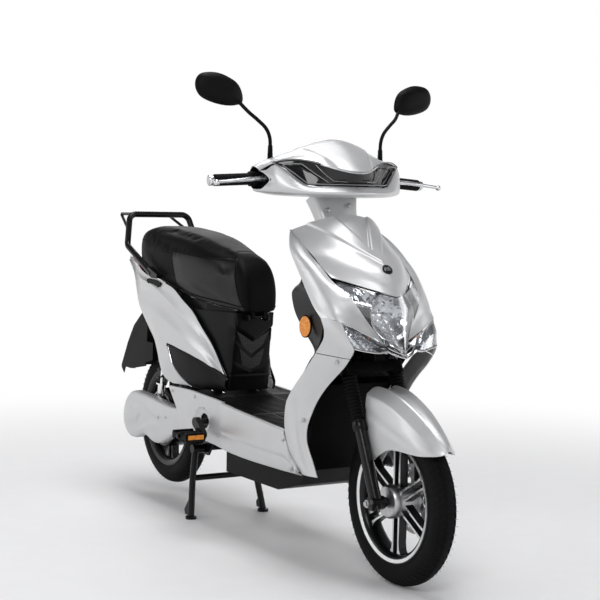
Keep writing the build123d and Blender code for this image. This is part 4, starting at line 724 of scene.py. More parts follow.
window_rows = across_rows({
    0: [(224, 1046), (231, 1028), (240, 1010)],
    -45: [(238, 1052), (241, 1032), (247, 1011)],
    -90: [(274, 1069), (269, 1040), (264, 1012)],
    -125: [(298, 1078), (292, 1046), (284, 1015)],
    -150: [(312, 1079), (307, 1056), (300, 1032)],
    -175: [(326, 1078), (323, 1067), (318, 1056)],
    -197: [(338, 1073), (337, 1071), (335, 1069)],
})
window_grid = surface(both_halves(window_rows)[::-1], 8, 8)
piece("cowl_window_glass", [skin(window_grid, 2)], GLOSS, STEERED, ["cowl_window"], bevel=0)


def trim(points, radius=1.6, steps=6, sharp=()):
    return both(strip(points, radius, steps=steps, sharp=sharp))


window_trim = trim([(-198, 334, 1072), (-175, 318, 1079), (-150, 304, 1081), (-125, 290, 1079),
                    (-100, 275, 1074),
                    (-84, 264, 1067)], 1.8)
window_trim += trim([(-198, 333, 1070), (-175, 311, 1055), (-150, 292, 1031), (-128, 277, 1013),
                     (-90, 254, 1008),
                     (-45, 238, 1007), (0, 231, 1007)], 2.2, sharp=(3,))
window_trim += trim([(-180, 314, 1066), (-164, 301, 1069), (-138, 286, 1069), (-110, 268, 1046),
                     (-78, 248, 1022)], 1.6,
                    sharp=(2, 4))
window_trim += trim([(-180, 314, 1065), (-158, 297, 1047), (-126, 276, 1019), (-96, 256, 1017),
                     (-52, 238, 1017),
                     (0, 230, 1017)], 1.6, sharp=(2,))
window_trim += trim([(-104, 271, 1067), (-88, 256, 1046), (-66, 241, 1026), (-30, 229, 1024)], 1.2,
                    sharp=(2,))
piece("window_trim", window_trim, SMOKE, STEERED, bevel=0)
visor_edge = strip([(-90, 268, 1068), (-60, 244, 1058), (-30, 224, 1050), (0, 213, 1047), (30, 224, 1050),
                    (60, 244, 1058), (90, 268, 1068)], 2.0)
piece("visor_edge", [visor_edge], PAINT, STEERED, bevel=0)
end_caps = both(plate([(334, 1042), (352, 1050), (398, 1056), (414, 1040), (412, 1016), (396, 1006),
                       (352, 1004),
                       (334, 1016), (330, 1028)], at((-206, 0, 0)), *UPRIGHT, 3))
piece("cowl_end_caps", end_caps, BLACK, STEERED)

# ---------------------------------------------------------------- neck
neck_out = unit(np.cross(X_AXIS, STEER_AXIS))
neck_rows = []
for up, half, depth in ((758, 58, 20), (786, 60, 20), (812, 65, 21), (842, 73, 22)):
    middle = FRONT_AXLE + STEER_AXIS * up * MM
    loop = [(-half, depth), (-half, -depth * 0.1), (-half * 0.9, -depth * 0.75), (-half * 0.55, -depth),
            (0, -depth - 3),
            (half * 0.55, -depth), (half * 0.9, -depth * 0.75), (half, -depth * 0.1), (half, depth)]
    row = [written(middle + MM * (x * X_AXIS - y * neck_out)) for x, y in loop]
    neck_rows.append(row)
neck_grid = surface(neck_rows[::-1], 6, 6)
neck_back_grid = surface([[row[0], row[-1]] for row in neck_rows], 6, 8)
piece("neck_cover_skin", [skin(neck_grid, 3), skin(neck_back_grid, 3)], PAINT, STEERED, ["neck_cover"])
neck_screws = []
for x, up in ((-44, 792), (26, 806)):
    spot = written(FRONT_AXLE + MM * (STEER_AXIS * up + neck_out * 31 + X_AXIS * x))
    neck_screws.append(screw(spot, neck_out, 4.5))
piece("neck_screws", neck_screws, STEEL, STEERED, bevel=0)

# ---------------------------------------------------------------- front fender
fender_ribs = [
    # behind, then half width and height of the edge, the flank, the shoulder and the crown's side,
    # then crown height
    (84, 50, 412, 54, 446, 50, 482, 30, 496, 470),
    (66, 53, 348, 57, 410, 52, 476, 28, 499, 484),
    (46, 55, 318, 58, 394, 52, 474, 27, 498, 492),
    (16, 55, 334, 58, 402, 51, 468, 26, 494, 491),
    (-20, 55, 352, 57, 404, 49, 458, 25, 484, 485),
    (-60, 54, 357, 55, 398, 46, 442, 23, 468, 471),
    (-100, 51, 356, 51, 386, 41, 423, 21, 448, 452),
    (-140, 45, 355, 44, 374, 34, 400, 17, 422, 427),
    (-172, 35, 358, 33, 369, 25, 382, 13, 398, 402),
    (-192, 22, 361, 20, 366, 16, 372, 8, 381, 384),
    (-201, 10, 366, 9, 367, 8, 368, 4, 371, 372),
]
fender_rows = []
for behind, edge_x, edge_z, flank_x, flank_z, shoulder_x, shoulder_z, crown_x, crown_z, top_z in fender_ribs:
    half = [(-edge_x, behind, edge_z), (-flank_x, behind, flank_z), (-shoulder_x, behind, shoulder_z),
            (-crown_x, behind, crown_z)]
    fender_rows.append(half + [(0, behind, top_z)] + [(-x, b, z) for x, b, z in half[::-1]])


def fender_relief(x, behind, z):
    """A crease along each flank that rises towards the rear."""
    crease = z - (392 + (behind + 60) * 0.33)
    return 2.2 * np.exp(-(crease / 10) ** 2) * smooth_step(behind, -150, -60) * smooth_step(np.abs(x), 30, 44)


fender_grid = relief(surface(fender_rows[::-1], 8, 8, sharp_columns=(2, 3, 5, 6)), fender_relief)
piece("fender_skin", [skin(fender_grid, 2.6)], PAINT, "fork_lower", ["front_fender"])
fender_stays = []
for stay_b, stay_z in ((60, 352), (66, 398)):
    fender_stays += both(plate([(-9, -8), (9, -8), (9, 8), (-9, 8)], at((-58, stay_b, stay_z)), *UPRIGHT, 6))
piece("fender_stays", fender_stays, FRAME_PAINT, "fork_lower")
piece("fender_screws", [part for spot in ((-58.5, 62, 396),
                                          (-56.5, 56, 350)) for part in both(screw(spot, -X_AXIS, 3.6))],
      STEEL, "fork_lower", bevel=0)

# ---------------------------------------------------------------- wheels
FLANGE, BEAD, TREAD, HALF_TYRE = 160.0, 151.0, 216.3, 31.0
WRAP = 1.93             # how far round the tyre's section the rubber goes, in radians from the crown
STEPS_ROUND, STEPS_ACROSS = 396, 54
VALVE_ANGLE = 0.62 * pi


def wheel_tyre(name, axle, body, node):
    """A treaded tyre: zigzag centre rib, slanted side blocks and small moulding hairs."""
    rows = []
    for i in range(STEPS_ROUND):
        angle = tau * i / STEPS_ROUND
        row = []
        for j in range(STEPS_ACROSS):
            lean = (j / (STEPS_ACROSS - 1) * 2 - 1) * WRAP
            x = HALF_TYRE * np.sign(lean) * abs(sin(min(abs(lean), pi / 2))) ** 0.9
            radius = BEAD + 28 + (TREAD - BEAD - 28) * cos(min(abs(lean), pi / 2)) ** 0.82
            if abs(lean) > pi / 2:
                fall = (abs(lean) - pi / 2) / (WRAP - pi / 2)
                radius = BEAD + 28 - 26 * fall
                x = np.sign(lean) * (HALF_TYRE - 6.2 * fall ** 1.5)
            arc = abs(lean) * 24
            step = (i + (3 if lean > 0 else 0)) % 6
            groove = 0.0
            zigzag = 6.5 + (2.2 if step < 3 else 0)
            if abs(arc - zigzag) < 1.5:
                groove = 2.6
            elif zigzag < arc < 32 and (i + int(arc / 4.5) + (3 if lean > 0 else 0)) % 6 < 2:
                groove = 2.4
            elif abs(arc - 20) < 0.9:
                groove = 1.8
            if 35 < arc < 36.5 or 41 < arc < 42.2:
                groove = -0.5
            row.append(spin((radius - groove, x), axle, angle))
        row.append(spin((BEAD + 1, 19), axle, angle))
        row.append(spin((BEAD + 1, -19), axle, angle))
        rows.append(row)
    verts = np.array(rows).reshape(-1, 3)
    parts = [(verts, grid_faces(STEPS_ROUND, STEPS_ACROSS + 2, closed_rows=True, closed_columns=True))]
    rng = np.random.default_rng(7)
    for angle in np.arange(0, tau, tau / 66):
        for side in (-1, 1):
            root = spin((205 + rng.uniform(-2, 3), side * rng.uniform(19, 22)), axle, angle)
            tip = spin((210.5 + rng.uniform(0, 3), side * rng.uniform(24, 27)), axle,
                       angle + rng.uniform(-0.01, 0.01))
            parts.append(sweep([root, tip], [0.0006, 0.0003], 4))
    return piece(name, parts, TYRE, body, [node], bevel=0, smooth=30)


def wheel_rim(name, axle, body, node, hub_radius, hub_profile, face_material):
    """A cast rim with six double spokes that have a finish of their own on their faces."""
    barrel = [(FLANGE, -29), (FLANGE, -25.5), (BEAD - 0.3, -25), (BEAD - 5, -19), (143, -12), (141, 0),
              (143, 12),
              (BEAD - 5, 19), (BEAD - 0.3, 25), (FLANGE, 25.5), (FLANGE, 29), (FLANGE - 4, 29.4), (146,
                      27), (139, 22),
              (135, 12), (134, 0), (135, -12), (139, -22), (146, -27), (FLANGE - 4, -29.4)]
    dark = [lathe(barrel, axle, X_AXIS, 120), lathe(hub_profile, axle, X_AXIS, 64)]
    bright = []
    for k in range(6):
        angle = tau * k / 6
        for side in (-1, 1):
            root, tip = hub_radius - 6, 140
            outline = [(side * 7, root), (side * 17, root), (side * 16.5, root + 20), (side * 15.5, 108),
                       (side * 18, 124), (side * 27, tip - 3), (side * 27, tip), (side * 5, tip), (side * 5,
                               tip - 4),
                       (side * 7.5, 122), (side * 7.5, 108), (side * 7, root + 20)]
            spoke = plate(outline, axle - 11.5 * MM * X_AXIS, *UPRIGHT, 23)
            dark.append(turned(spoke, axle, X_AXIS, angle))
            face = [(side * 9, root + 4), (side * 15.4, root + 4), (side * 14.2, 108), (side * 16.5, 124),
                    (side * 24, tip - 4), (side * 9, tip - 4), (side * 9.4, 122), (side * 9.2, 108)]
            for start in (-12.2, 11.2):
                machined = plate(face, axle + start * MM * X_AXIS, *UPRIGHT, 1.0)
                bright.append(turned(machined, axle, X_AXIS, angle))
    for edge in (-1, 1):
        line = [(146.5, edge * 27.4), (FLANGE - 4.4, edge * 29.7), (FLANGE - 4.4, edge * 29.2),
                (146.5, edge * 26.8)]
        bright.append(lathe(line, axle, X_AXIS, 120))
    valve_root = spin((138, 0), axle, VALVE_ANGLE)
    valve_tip = spin((108, -7), axle, VALVE_ANGLE)
    bright.append(sweep([valve_root, valve_root * 0.3 + valve_tip * 0.7, valve_tip], [0.0042, 0.0042, 0.003],
                        12))
    piece(name, dark, DARK_ALLOY, body, [node], bevel=1.0)
    piece(name + "_faces", bright, face_material, body, bevel=0.2)


front_hub = [(20, -40), (26, -40), (33, -30), (40, -18), (40, 18), (33, 30), (26, 40), (20, 40), (8, 40),
             (8, -40)]
wheel_tyre("front_tyre_tread", FRONT_AXLE, "front_wheel", "front_tyre")
wheel_rim("front_wheel_casting", FRONT_AXLE, "front_wheel", "front_rim", 40, front_hub, MACHINED)
hub_cover = [(12, -44), (38, -42), (43, -36), (43.5, -20), (41, -19), (41, 19), (43.5, 20), (43, 36),
             (38, 40.5),
             (12, 40.5)]
piece("front_hub_cover", [lathe(hub_cover, FRONT_AXLE, X_AXIS, 72)], STEEL, "front_wheel", bevel=0.8)
rear_hub = [(30, -46), (84, -46), (94, -40), (96, -30), (96, 30), (94, 40), (84, 46), (30, 46), (9, 46),
            (9, -46)]
wheel_tyre("rear_tyre_tread", REAR_AXLE, "back_wheel", "rear_tyre")
wheel_rim("rear_wheel_casting", REAR_AXLE, "back_wheel", "rear_wheel", 96, rear_hub, DARK_ALLOY)
motor_fins = [lathe([(r, s * 46), (r + 4, s * 46), (r + 3.4, s * 48.5), (r + 0.6, s * 48.5)], REAR_AXLE,
                    X_AXIS, 72)
              for s in (-1, 1) for r in (40, 54, 68, 82)]
teeth = []
for k in range(18):
    angle = tau * k / 18
    teeth += [(30.5 * cos(angle), 30.5 * sin(angle)), (33.5 * cos(angle + 0.13), 33.5 * sin(angle + 0.13)),
              (30.5 * cos(angle + 0.2), 30.5 * sin(angle + 0.2))]
piece("motor_fins", motor_fins + [lathe([(9, -46), (19, -46), (19, -112), (9, -112)], REAR_AXLE, X_AXIS, 40),
                                  plate(teeth, REAR_AXLE - 114 * MM * X_AXIS, *UPRIGHT, 4)],
      STEEL, "back_wheel", bevel=0.3)

disc_holes = [circle(3.6, (78 * cos(a), 78 * sin(a)), 12) for a in np.arange(0, tau, tau / 24)]
disc_holes += [circle(3.2, (69 * cos(a), 69 * sin(a)), 12) for a in np.arange(tau / 48, tau, tau / 24)]
disc_windows = [[(r * cos(a + t), r * sin(a + t)) for r,
                 t in ((58, -0.2), (58, 0.2), (48, 0.28), (38, 0.0), (44, -0.3))]
                for a in np.arange(0, tau, tau / 6)]
piece("front_disc", [plate(circle(90, count=96), FRONT_AXLE + 42 * MM * X_AXIS, *UPRIGHT, 3,
                           disc_holes + disc_windows + [circle(13)])], STEEL, "front_wheel", ["brake_disc"],
      bevel=0.2)

# ---------------------------------------------------------------- fork gaiters, caps and top nuts
for side, gaiter_name in ((-1, "fork_gaiter_right"), (1, "fork_gaiter_left")):
    profile = [(13.6, 217)]
    for rib in range(13):
        low = 217 + rib * 9
        size = 18.0 + 3.2 * rib / 13
        profile += [(15.0 + 2.4 * rib / 13, low + 0.6), (size - 0.6, low + 3.0), (size, low + 4.5),
                    (size - 0.6, low + 6.0), (15.0 + 2.4 * rib / 13, low + 8.4)]
    profile += [(18.5, 334), (13.6, 334)]
    leg = FRONT_AXLE + side * 73 * MM * X_AXIS
    gaiter = piece(gaiter_name, [lathe(profile, leg, STEER_AXIS, 36)], RUBBER, STEERED,
                   ["fork_gaiters"], bevel=0)
    top = leg + STEER_AXIS * 335 * MM
    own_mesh(gaiter)
leg_caps = []
for side in (-1, 1):
    leg = FRONT_AXLE + side * 73 * MM * X_AXIS
    leg_caps.append(lathe([(16, 190), (19, 190), (20, 196), (20, 210), (18.5, 213.5), (16, 213.5)], leg,
                          STEER_AXIS, 36))
piece("leg_caps", leg_caps, FRAME_PAINT, "fork_lower")
stanchions = [lathe([(0, 374), (15.5, 374), (15.5, 398), (13, 402), (0, 404)],
                    FRONT_AXLE + s * 73 * MM * X_AXIS,
                    STEER_AXIS, 30) for s in (-1, 1)]
piece("fork_top_nuts", stanchions, CHROME, STEERED)

# ---------------------------------------------------------------- grips, levers and mirrors
BAR_UP = unit(-np.array(JOINTS["right_lever_pull"]["axis"]))
BAR_FORWARD = -unit(np.cross(BAR_AXIS, BAR_UP))
grip_profile = [(11.3, 121.2), (19.6, 121.2), (20, 122.5), (19.6, 125), (15.6, 126.5)]
for ring_start in range(129, 216, 5):
    grip_profile += [(15.2, ring_start), (16, ring_start + 0.8), (16, ring_start + 3.4),
                     (15.2, ring_start + 4.2)]
grip_profile += [(15.6, 219), (16, 221), (15, 221.9), (11.3, 221.9)]
right_grip = lathe(grip_profile, BAR_ELBOW, BAR_AXIS, 40)
piece("throttle_sleeve", [right_grip], RUBBER, "throttle", ["throttle_grip"], bevel=0)
piece("left_sleeve", [mirrored(right_grip)], RUBBER, STEERED, ["left_grip"], bevel=0)
end_profile = [(0, 223.5), (13.4, 223.5), (14.2, 225), (14.2, 227), (13.2, 228), (13.2, 229.5), (14.2, 230.5),
               (14.2, 235.0), (12.5, 237.2), (7, 237.9), (0, 237.9)]
piece("bar_end_caps", both(lathe(end_profile, BAR_ELBOW, BAR_AXIS, 40)), CHROME, STEERED, bevel=0)

LEVER_PIVOT = np.array(JOINTS["right_lever_pull"]["pos_m"])


def on_lever(out, ahead, up=0.0):
    return LEVER_PIVOT + MM * (out * BAR_AXIS + ahead * BAR_FORWARD + up * BAR_UP)


lever_line = curve([(-4, 0), (12, 2), (30, 10), (50, 21), (80, 27), (115, 31), (140, 34.5)], 6)
lever_sizes = np.interp(np.arange(len(lever_line)), [0, 6, 14, 24, len(lever_line) - 1],
                        [8.5, 8.4, 7.0, 6.4, 5.6])
lever_bar = sweep([on_lever(out, ahead, -6.0 * smooth_step(out, 20, 146)) for out, ahead in lever_line],
                  lever_sizes * MM, 16)
lever_verts = lever_bar[0]
heights = (lever_verts - LEVER_PIVOT) @ BAR_UP
lever_verts = lever_verts - np.outer(heights * 0.2, BAR_UP)
ball = lathe([(0, -8), (3, -7.5), (5.7, -5.7), (7.5, -3), (8, 0), (7.5, 3), (5.7, 5.7), (3, 7.5), (0, 8)],
             on_lever(146, 35, -6), BAR_AXIS, 24)
lever_parts = [(lever_verts, lever_bar[1]), ball]
piece("right_lever_blade", lever_parts, ALLOY, "right_lever", ["brake_lever_right"], bevel=0)
piece("left_lever_blade", [mirrored(part) for part in lever_parts], ALLOY, "left_lever",
      ["brake_lever_left"], bevel=0)

HEAD = at((-310, 424, 1264))
HEAD_OUT = unit((-0.99, 0.09, 0.1))
HEAD_BACK = unit(np.array((0.085, 0.985, -0.05)) - HEAD_OUT * np.dot((0.085, 0.985, -0.05), HEAD_OUT))
HEAD_UP = unit(np.cross(HEAD_BACK, HEAD_OUT))
HEAD_UP = HEAD_UP * np.sign(HEAD_UP[2])
head_outline = closed_curve([(-68, -26), (-64, 0), (-48, 22), (-20, 35), (10, 41), (40, 38), (60, 30),
                             (70, 14),
                             (70, -4), (62, -20), (46, -32), (14, -40), (-20, -42), (-50, -37)], 5)
centre_of_head = head_outline.mean(axis=0)


def head_ring(shrink, depth):
    flat = centre_of_head + (head_outline - centre_of_head) * shrink
    return [HEAD + MM * (u * HEAD_OUT + v * HEAD_UP + depth * HEAD_BACK) for u, v in flat]


def rings(loops):
    """A closed shell through loops of equal length."""
    verts = np.array(loops).reshape(-1, 3)
    count, size = len(loops), len(loops[0])
    return verts, grid_faces(count, size, closed_columns=True) + [tuple(range(size))[::-1],
                tuple((count - 1) * size + k for k in range(size))]


shell_rings = [head_ring(s, d) for s, d in ((0.03, -16), (0.3, -15.6), (0.52, -14.4), (0.7, -12),
                                            (0.85, -7.8), (0.95, -2.5),
                                            (0.99, 1.5), (1.0, 3.4), (0.985, 4.2), (0.95, 4.2), (0.94,
                                                    3.0), (0.3, 2.8))]
glass_rings = [head_ring(s, d) for s, d in ((0.05, 2.2), (0.935, 2.4), (0.935, 3.3), (0.92, 3.6),
                                            (0.05, 3.8))]
stem_route = curve([(-177, 386, 1064), (-177, 386, 1112), (-179, 386.5, 1140), (-190, 389, 1164),
                    (-212, 395, 1185),
                    (-236, 402, 1205), (-254, 413, 1226), (-266, 419, 1240)], 6)
boot = [(7, 1062.5), (8, 1064)]
for fold in range(8):
    low = 1082 + fold * 4.5
    boot += [(6.6 - fold * 0.12, low), (8 - fold * 0.2, low + 1.2), (8 - fold * 0.2, low + 3),
             (6.6 - fold * 0.12, low + 4)]
for side_name, flip in (("right", False), ("left", True)):
    shell_parts = [rings(shell_rings), sweep(at(stem_route), 5 * MM, 16),
                   lathe([(0, 1062.5)] + boot + [(5, 1119.5), (0, 1119.8)], at((-177, 386, 0)), (0, 0, 1),
                         28),
                   lathe([(0, -6), (8, -6), (9.5, -2), (9.5, 3), (7, 8), (0, 8)], at((-266, 419, 1240)),
                         unit((-0.55, 0.12, 0.8)), 24)]
    glass_parts = [rings(glass_rings)]
    if flip:
        shell_parts, glass_parts = (
            [mirrored(part) for part in shell_parts], [mirrored(part) for part in glass_parts]
        )
    piece(side_name + "_mirror_shell", shell_parts, BLACK, side_name + "_mirror",
          ["mirror_" + side_name], bevel=0)
    piece(side_name + "_mirror_glass", glass_parts, MIRROR, side_name + "_mirror", bevel=0)

# ---------------------------------------------------------------- floor mat and skirts
FLOOR_SLOPE = (396 - 352) / (905 - 338)


floor_along = unit((0, 1, FLOOR_SLOPE))
mat_edge = [(-134, 8), (134, 8), (134, 462), (72, 470), (-72, 470), (-134, 462)]
mat_parts = [plate(mat_edge, at((0, 338, 352.2)), X_AXIS, floor_along, 2.4)]
for rib_at in range(24, 440, 15):
    if 196 < rib_at < 214:
        continue
    for low_x, high_x in ((-126, -70), (-62, 62), (70, 126)):
        bar = [(low_x, rib_at), (high_x, rib_at), (high_x, rib_at + 6), (low_x, rib_at + 6)]
        mat_parts.append(plate(bar, at((0, 338, 354.6)), X_AXIS, floor_along, 1.5))
piece("floor_mat", mat_parts, MAT_RUBBER, BODY, bevel=0.6)

skirt_rows = []
for behind, high, low, crease in ((246, 262, 249, 257), (266, 286, 248.5, 268), (290, 305, 248, 279),
                                  (317, 345, 247.5, 288),
                                  (330, 361, 247, 289), (400, 366.5, 246, 289), (480, 372.5, 245, 290),
                                  (560, 378.5, 245.5, 293), (630, 384, 248, 298), (668, 387, 250.5, 300),
                                  (684, 388, 251.5, 301), (691, 388.5, 252, 301)):
    inset = {691: 9.5, 684: 2.2}.get(behind, 0)
    low_bulge = (behind > 300) * 1.0
    skirt_rows.append([(-146, behind, high - 2), (-156 + inset * 0.6, behind, high),
                       (-160 + inset, behind, high - 4),
                       (-161 + inset, behind, high - 12 * low_bulge - 5), (-161 + inset, behind, crease + 7),
                       (-156.5 + inset, behind, crease - 2), (-156 + inset, behind, (crease + low) / 2 + 2),
                       (-152 + inset * 0.7, behind, low + 4), (-145, behind, low)])
skirt_grid = surface(skirt_rows, 6, 5, sharp_columns=(4, 5))
rear_skirt = [(682, 255), (724, 259), (800, 263), (870, 275), (932, 291), (975, 332), (1034, 396),
              (885, 399.5),
              (682, 389)]
DISH = (806, 318)
dish_hole = circle(50, DISH, 56, 0.86)
rear_plate = side_plate(rear_skirt, -152, 9, [dish_hole])
dish_rings = []
for size, depth in ((50.6, -152.4), (49.5, -153.0), (47.5, -152.2), (44, -148.5), (39, -145.5), (33, -144),
                    (26, -143.5)):
    dish_rings.append([at((depth, b, z)) for b, z in circle(size, DISH, 56, 0.86)])
dish_rings.append([at((-141.5, b, z)) for b, z in circle(26, DISH, 56, 0.86)])
dish_rings.append([at((-141.5, b, z)) for b, z in circle(50.6, DISH, 56, 0.86)])
count = len(dish_rings)
dish = (np.array(dish_rings).reshape(-1, 3), grid_faces(count, 56, closed_rows=True, closed_columns=True))
piece("skirt_skins", both(skin(skirt_grid, 3)) + both(rear_plate), PAINT, BODY,
      ["skirt_right", "skirt_left"], bevel=1.2)
piece("crank_dishes", both(dish), PAINT, BODY, bevel=0)
skirt_screws = [((-161, 318, 334), (-1, 0, 0)), ((-160, 277, 262), (-1, 0, 0)),
                ((-152.3, 856, 384), (-1, 0, 0)),
                ((-152.3, 1006, 384), (-1, 0, 0))]
piece("skirt_screws", [part for spot, out in skirt_screws for part in both(screw(spot, out, 4))], STEEL, BODY,
      bevel=0)

# ---------------------------------------------------------------- pedestal under the seat
PEDESTAL_LEVELS = [
    # height, front half width, front place, rear half width, rear place
    (404, 68, 800, 84, 866), (440, 68, 795, 85.5, 869), (470, 67, 788, 87, 872), (520, 66, 782, 90, 880),
    (560, 65, 776, 94, 900), (600, 64, 772, 101, 934), (638, 63, 768, 108, 968),
]
pedestal_rows = []
for height, front_half, front_b, rear_half, rear_b in PEDESTAL_LEVELS:
    half = [(-rear_half, rear_b), (-(rear_half + front_half) / 2 - 2, (rear_b + front_b) / 2),
            (-front_half - 1, front_b + 9),
            (-front_half * 0.88, front_b + 1), (-front_half * 0.45, front_b - 1)]
    pedestal_rows.append([(x, b, height) for x, b in half] + [(0, front_b - 1.5, height)]
                         + [(-x, b, height) for x, b in half[::-1]])


def pedestal_relief(x, behind, z):
    """A collar round the hinge, two V shaped steps and a plain box at the foot."""
    front = 1 - smooth_step(np.abs(x), 62, 72)
    collar = z - (566 + np.abs(x) * 0.62 - 10)
    first = z - (508 + np.abs(x) * 0.75)
    second = z - (462 + np.abs(x) * 0.5)
    height = 3.0 * smooth_step(collar, 0, 5) - 3.5 * smooth_step(first, -4,
            0) * (1 - smooth_step(collar, -5, 0))
    height = height - 2.0 * smooth_step(second, -4, 0) * (1 - smooth_step(first, -6, -2))
    return front * height + 2.0 * (1 - smooth_step(z, 448, 452))


pedestal_grid = relief(surface(pedestal_rows[::-1], 12, 8), pedestal_relief)
seat_rim = []
# corners of the wall round the seat's opening: (x, behind, height of the wall)
RIM_CORNERS = [(-54, 787, 12), (-90, 905, 26), (-102, 1060, 48), (-102, 1160, 54)]
for (x, b, rise), (next_x, next_b, next_rise) in zip(RIM_CORNERS, RIM_CORNERS[1:]):
    along = unit((next_x - x, next_b - b, 0))
    length = float(np.hypot(next_x - x, next_b - b))
    seat_rim += both(plate([(0, 0), (length, 0), (length, next_rise), (0, rise)], at((x, b, 632)), along,
                           (0, 0, 1), 2.5))
seat_rim.append(plate([(-54, 0), (54, 0), (54, 12), (-54, 12)], at((0, 789.5, 632)), X_AXIS, (0, 0, 1), 2.5))
piece("pedestal_skin", [skin(pedestal_grid, 3)] + seat_rim, SATIN, BODY, ["seat_pedestal"])


def on_pedestal(x, z, lift):
    """The place on the front of the pedestal at x and height z, lifted off by a little."""
    levels = np.array(PEDESTAL_LEVELS)
    front = float(np.interp(z, levels[:, 0], levels[:, 2]))
    depth = float(pedestal_relief(np.array(abs(x)), 0, np.array(float(z))))
    return (x, front - 1.2 - depth - lift, z)


def pedestal_patch(low_line, high_line, half_low, half_high, lift=0.8):
    """A panel between two V lines, each (height at the middle, rise per millimetre)."""
    patch = []
    for t in np.linspace(1, 0, 10):
        row = []
        for s in np.linspace(-1, 1, 21):
            x = s * (half_low + (half_high - half_low) * t)
            z = (1 - t) * (low_line[0] + low_line[1] * abs(x)) + t * (high_line[0] + high_line[1] * abs(x))
            row.append(on_pedestal(x, z, lift))
        patch.append(row)
    return np.array(patch)


weave_panels = [skin(pedestal_patch((513, 0.75), (550, 0.6), 34, 56), 1.2),
                skin(pedestal_patch((466, 0.5), (500, 0.75), 30, 42), 1.2)]
piece("weave_panels", weave_panels, WEAVE, BODY, bevel=0)
bracket_block = plate([(-36, 0), (36, 0), (36, 20), (-36, 20)], at((0, 785, 612)), X_AXIS, (0, 0, 1), 17)
hinge_pin = lathe([(0, -31), (4, -31), (4, 31), (0, 31)], at((0, 748, 628)), X_AXIS, 20)
ears = [side_plate([(741, 620), (748, 615), (782, 612), (782, 630), (752, 635.5), (744, 634.5), (740.5, 628)],
                   x, 6)
        for x in (-36, 30)]
piece("hinge_bracket", [bracket_block, hinge_pin] + ears, FRAME_PAINT, BODY, bevel=1)
piece("bracket_screws", [screw((x, 768.2, 622), (0, -1, 0), 3.6) for x in (-22, 22)], CHROME, BODY, bevel=0)

# ---------------------------------------------------------------- side panels
PANEL_BEHIND = (800, 850, 900, 955, 1010, 1065, 1120, 1190, 1260, 1320, 1360, 1395, 1450)
PANEL_LINES = {
    # heights of the lower edge, the crease, the ridge and the upper edge
    "low": (404, 404, 403.5, 403, 402.5, 404, 430, 518, 562, 606, 665, 722, 766),
    "crease": (434, 478, 508, 536, 560, 582, 600, 612, 618, 636, 684, 732, 769),
    "ridge": (440, 506, 556, 590, 618, 646, 668, 694, 706, 716, 730, 750, 774),
    "high": (446, 530, 582, 634, 664, 694, 708, 718, 724, 738, 752, 762, 779),
}
PANEL_HALF = {
    "low": (80, 95, 108, 118, 126, 131, 134, 126, 117, 108, 104, 100, 95),
    "crease": (81, 100, 113, 126, 134, 138, 139, 137, 131, 122, 112, 104, 96),
    "ridge": (79, 98, 112, 122, 129, 133, 134, 133, 128, 121, 114, 106, 97),
    "high": (78, 94, 105, 115, 120, 123, 125, 123, 119, 114, 110, 105, 96),
}
panel_rows = []
for k, behind in enumerate(PANEL_BEHIND):
    row = []
    names = ("low", "crease", "ridge", "high")
    for first, second in zip(names[:-1], names[1:]):
        for t in ((0, 0.35, 0.7) if first == "low" else (0, 0.5)):
            z = PANEL_LINES[first][k] * (1 - t) + PANEL_LINES[second][k] * t
            x = PANEL_HALF[first][k] * (1 - t) + PANEL_HALF[second][k] * t
            swell = {"low": 4.0, "crease": -6.0, "ridge": -2.5}[first] * (0 < t)
            row.append((-x - swell, behind, z))
    row.append((-PANEL_HALF["high"][k], behind, PANEL_LINES["high"][k]))
    panel_rows.append(row)
# rows run backwards so that the outside is towards the right
panel_grid = surface(panel_rows[::-1], 8, 8, sharp_columns=(3, 5))
piece("side_panel_skins", both(skin(panel_grid, 2.6)), PAINT, BODY, ["side_panel_right", "side_panel_left"],
      bevel=0.8)


def on_panel(behind, z, lift=0.0):
    """A place on the outside of the right panel, given the distance behind the axle and the height."""
    lows = [float(np.interp(behind, PANEL_BEHIND, PANEL_LINES[name])) for name in ("low", "crease", "ridge",
            "high")]
    halves = [float(np.interp(behind, PANEL_BEHIND, PANEL_HALF[name])) for name in ("low", "crease", "ridge",
            "high")]
    t = (z - lows[0]) / (lows[1] - lows[0])
    bulge = 3.0 * smooth_step(t, 0, 0.35) * (1 - smooth_step(t, 0.7, 1.0))
    return (-float(np.interp(z, lows, halves)) - float(bulge) - lift, behind, z)


insert_rows = []
for behind, low, high in ((790, 404, 448), (830, 402, 466), (880, 400.5, 483), (925, 399, 496),
                          (960, 408, 505),
                          (1000, 428, 513), (1030, 452, 519), (1052, 484, 522), (1072, 516, 524)):
    insert_rows.append([on_panel(behind, low + (high - low) * t, 3.8 if 0 < t < 1 else 1.4)
                        for t in (0, 0.12, 0.5, 0.88, 1)])
insert_grid = surface(insert_rows[::-1], 6, 6)
piece("side_insert_skins", both(skin(insert_grid, 3)), SATIN, BODY, ["side_inserts"], bevel=0)
strip_line = [on_panel(b, z, 4.6) for b, z in ((1060, 514), (1050, 490), (1038, 464), (1010, 434), (975, 412),
                                               (940, 403))]
piece("insert_trim", both(strip(strip_line, 1.0, sharp=(2,))), CHROME, BODY, bevel=0)
edge_line = [on_panel(b, float(np.interp(b, PANEL_BEHIND, PANEL_LINES["high"])) - 0.5, -1.0)
             for b in (802, 850, 900, 955, 1010, 1065, 1120)]
piece("panel_edge", both(strip(edge_line, 1.8)), GLOSS, BODY, bevel=0)
recess_plate = closed_curve([(1146, 706), (1190, 714), (1238, 716), (1244, 704), (1200, 694), (1160, 692)], 5)
piece("rack_recesses", both(side_plate(recess_plate.tolist(), -130.5, 4)), BLACK, BODY)

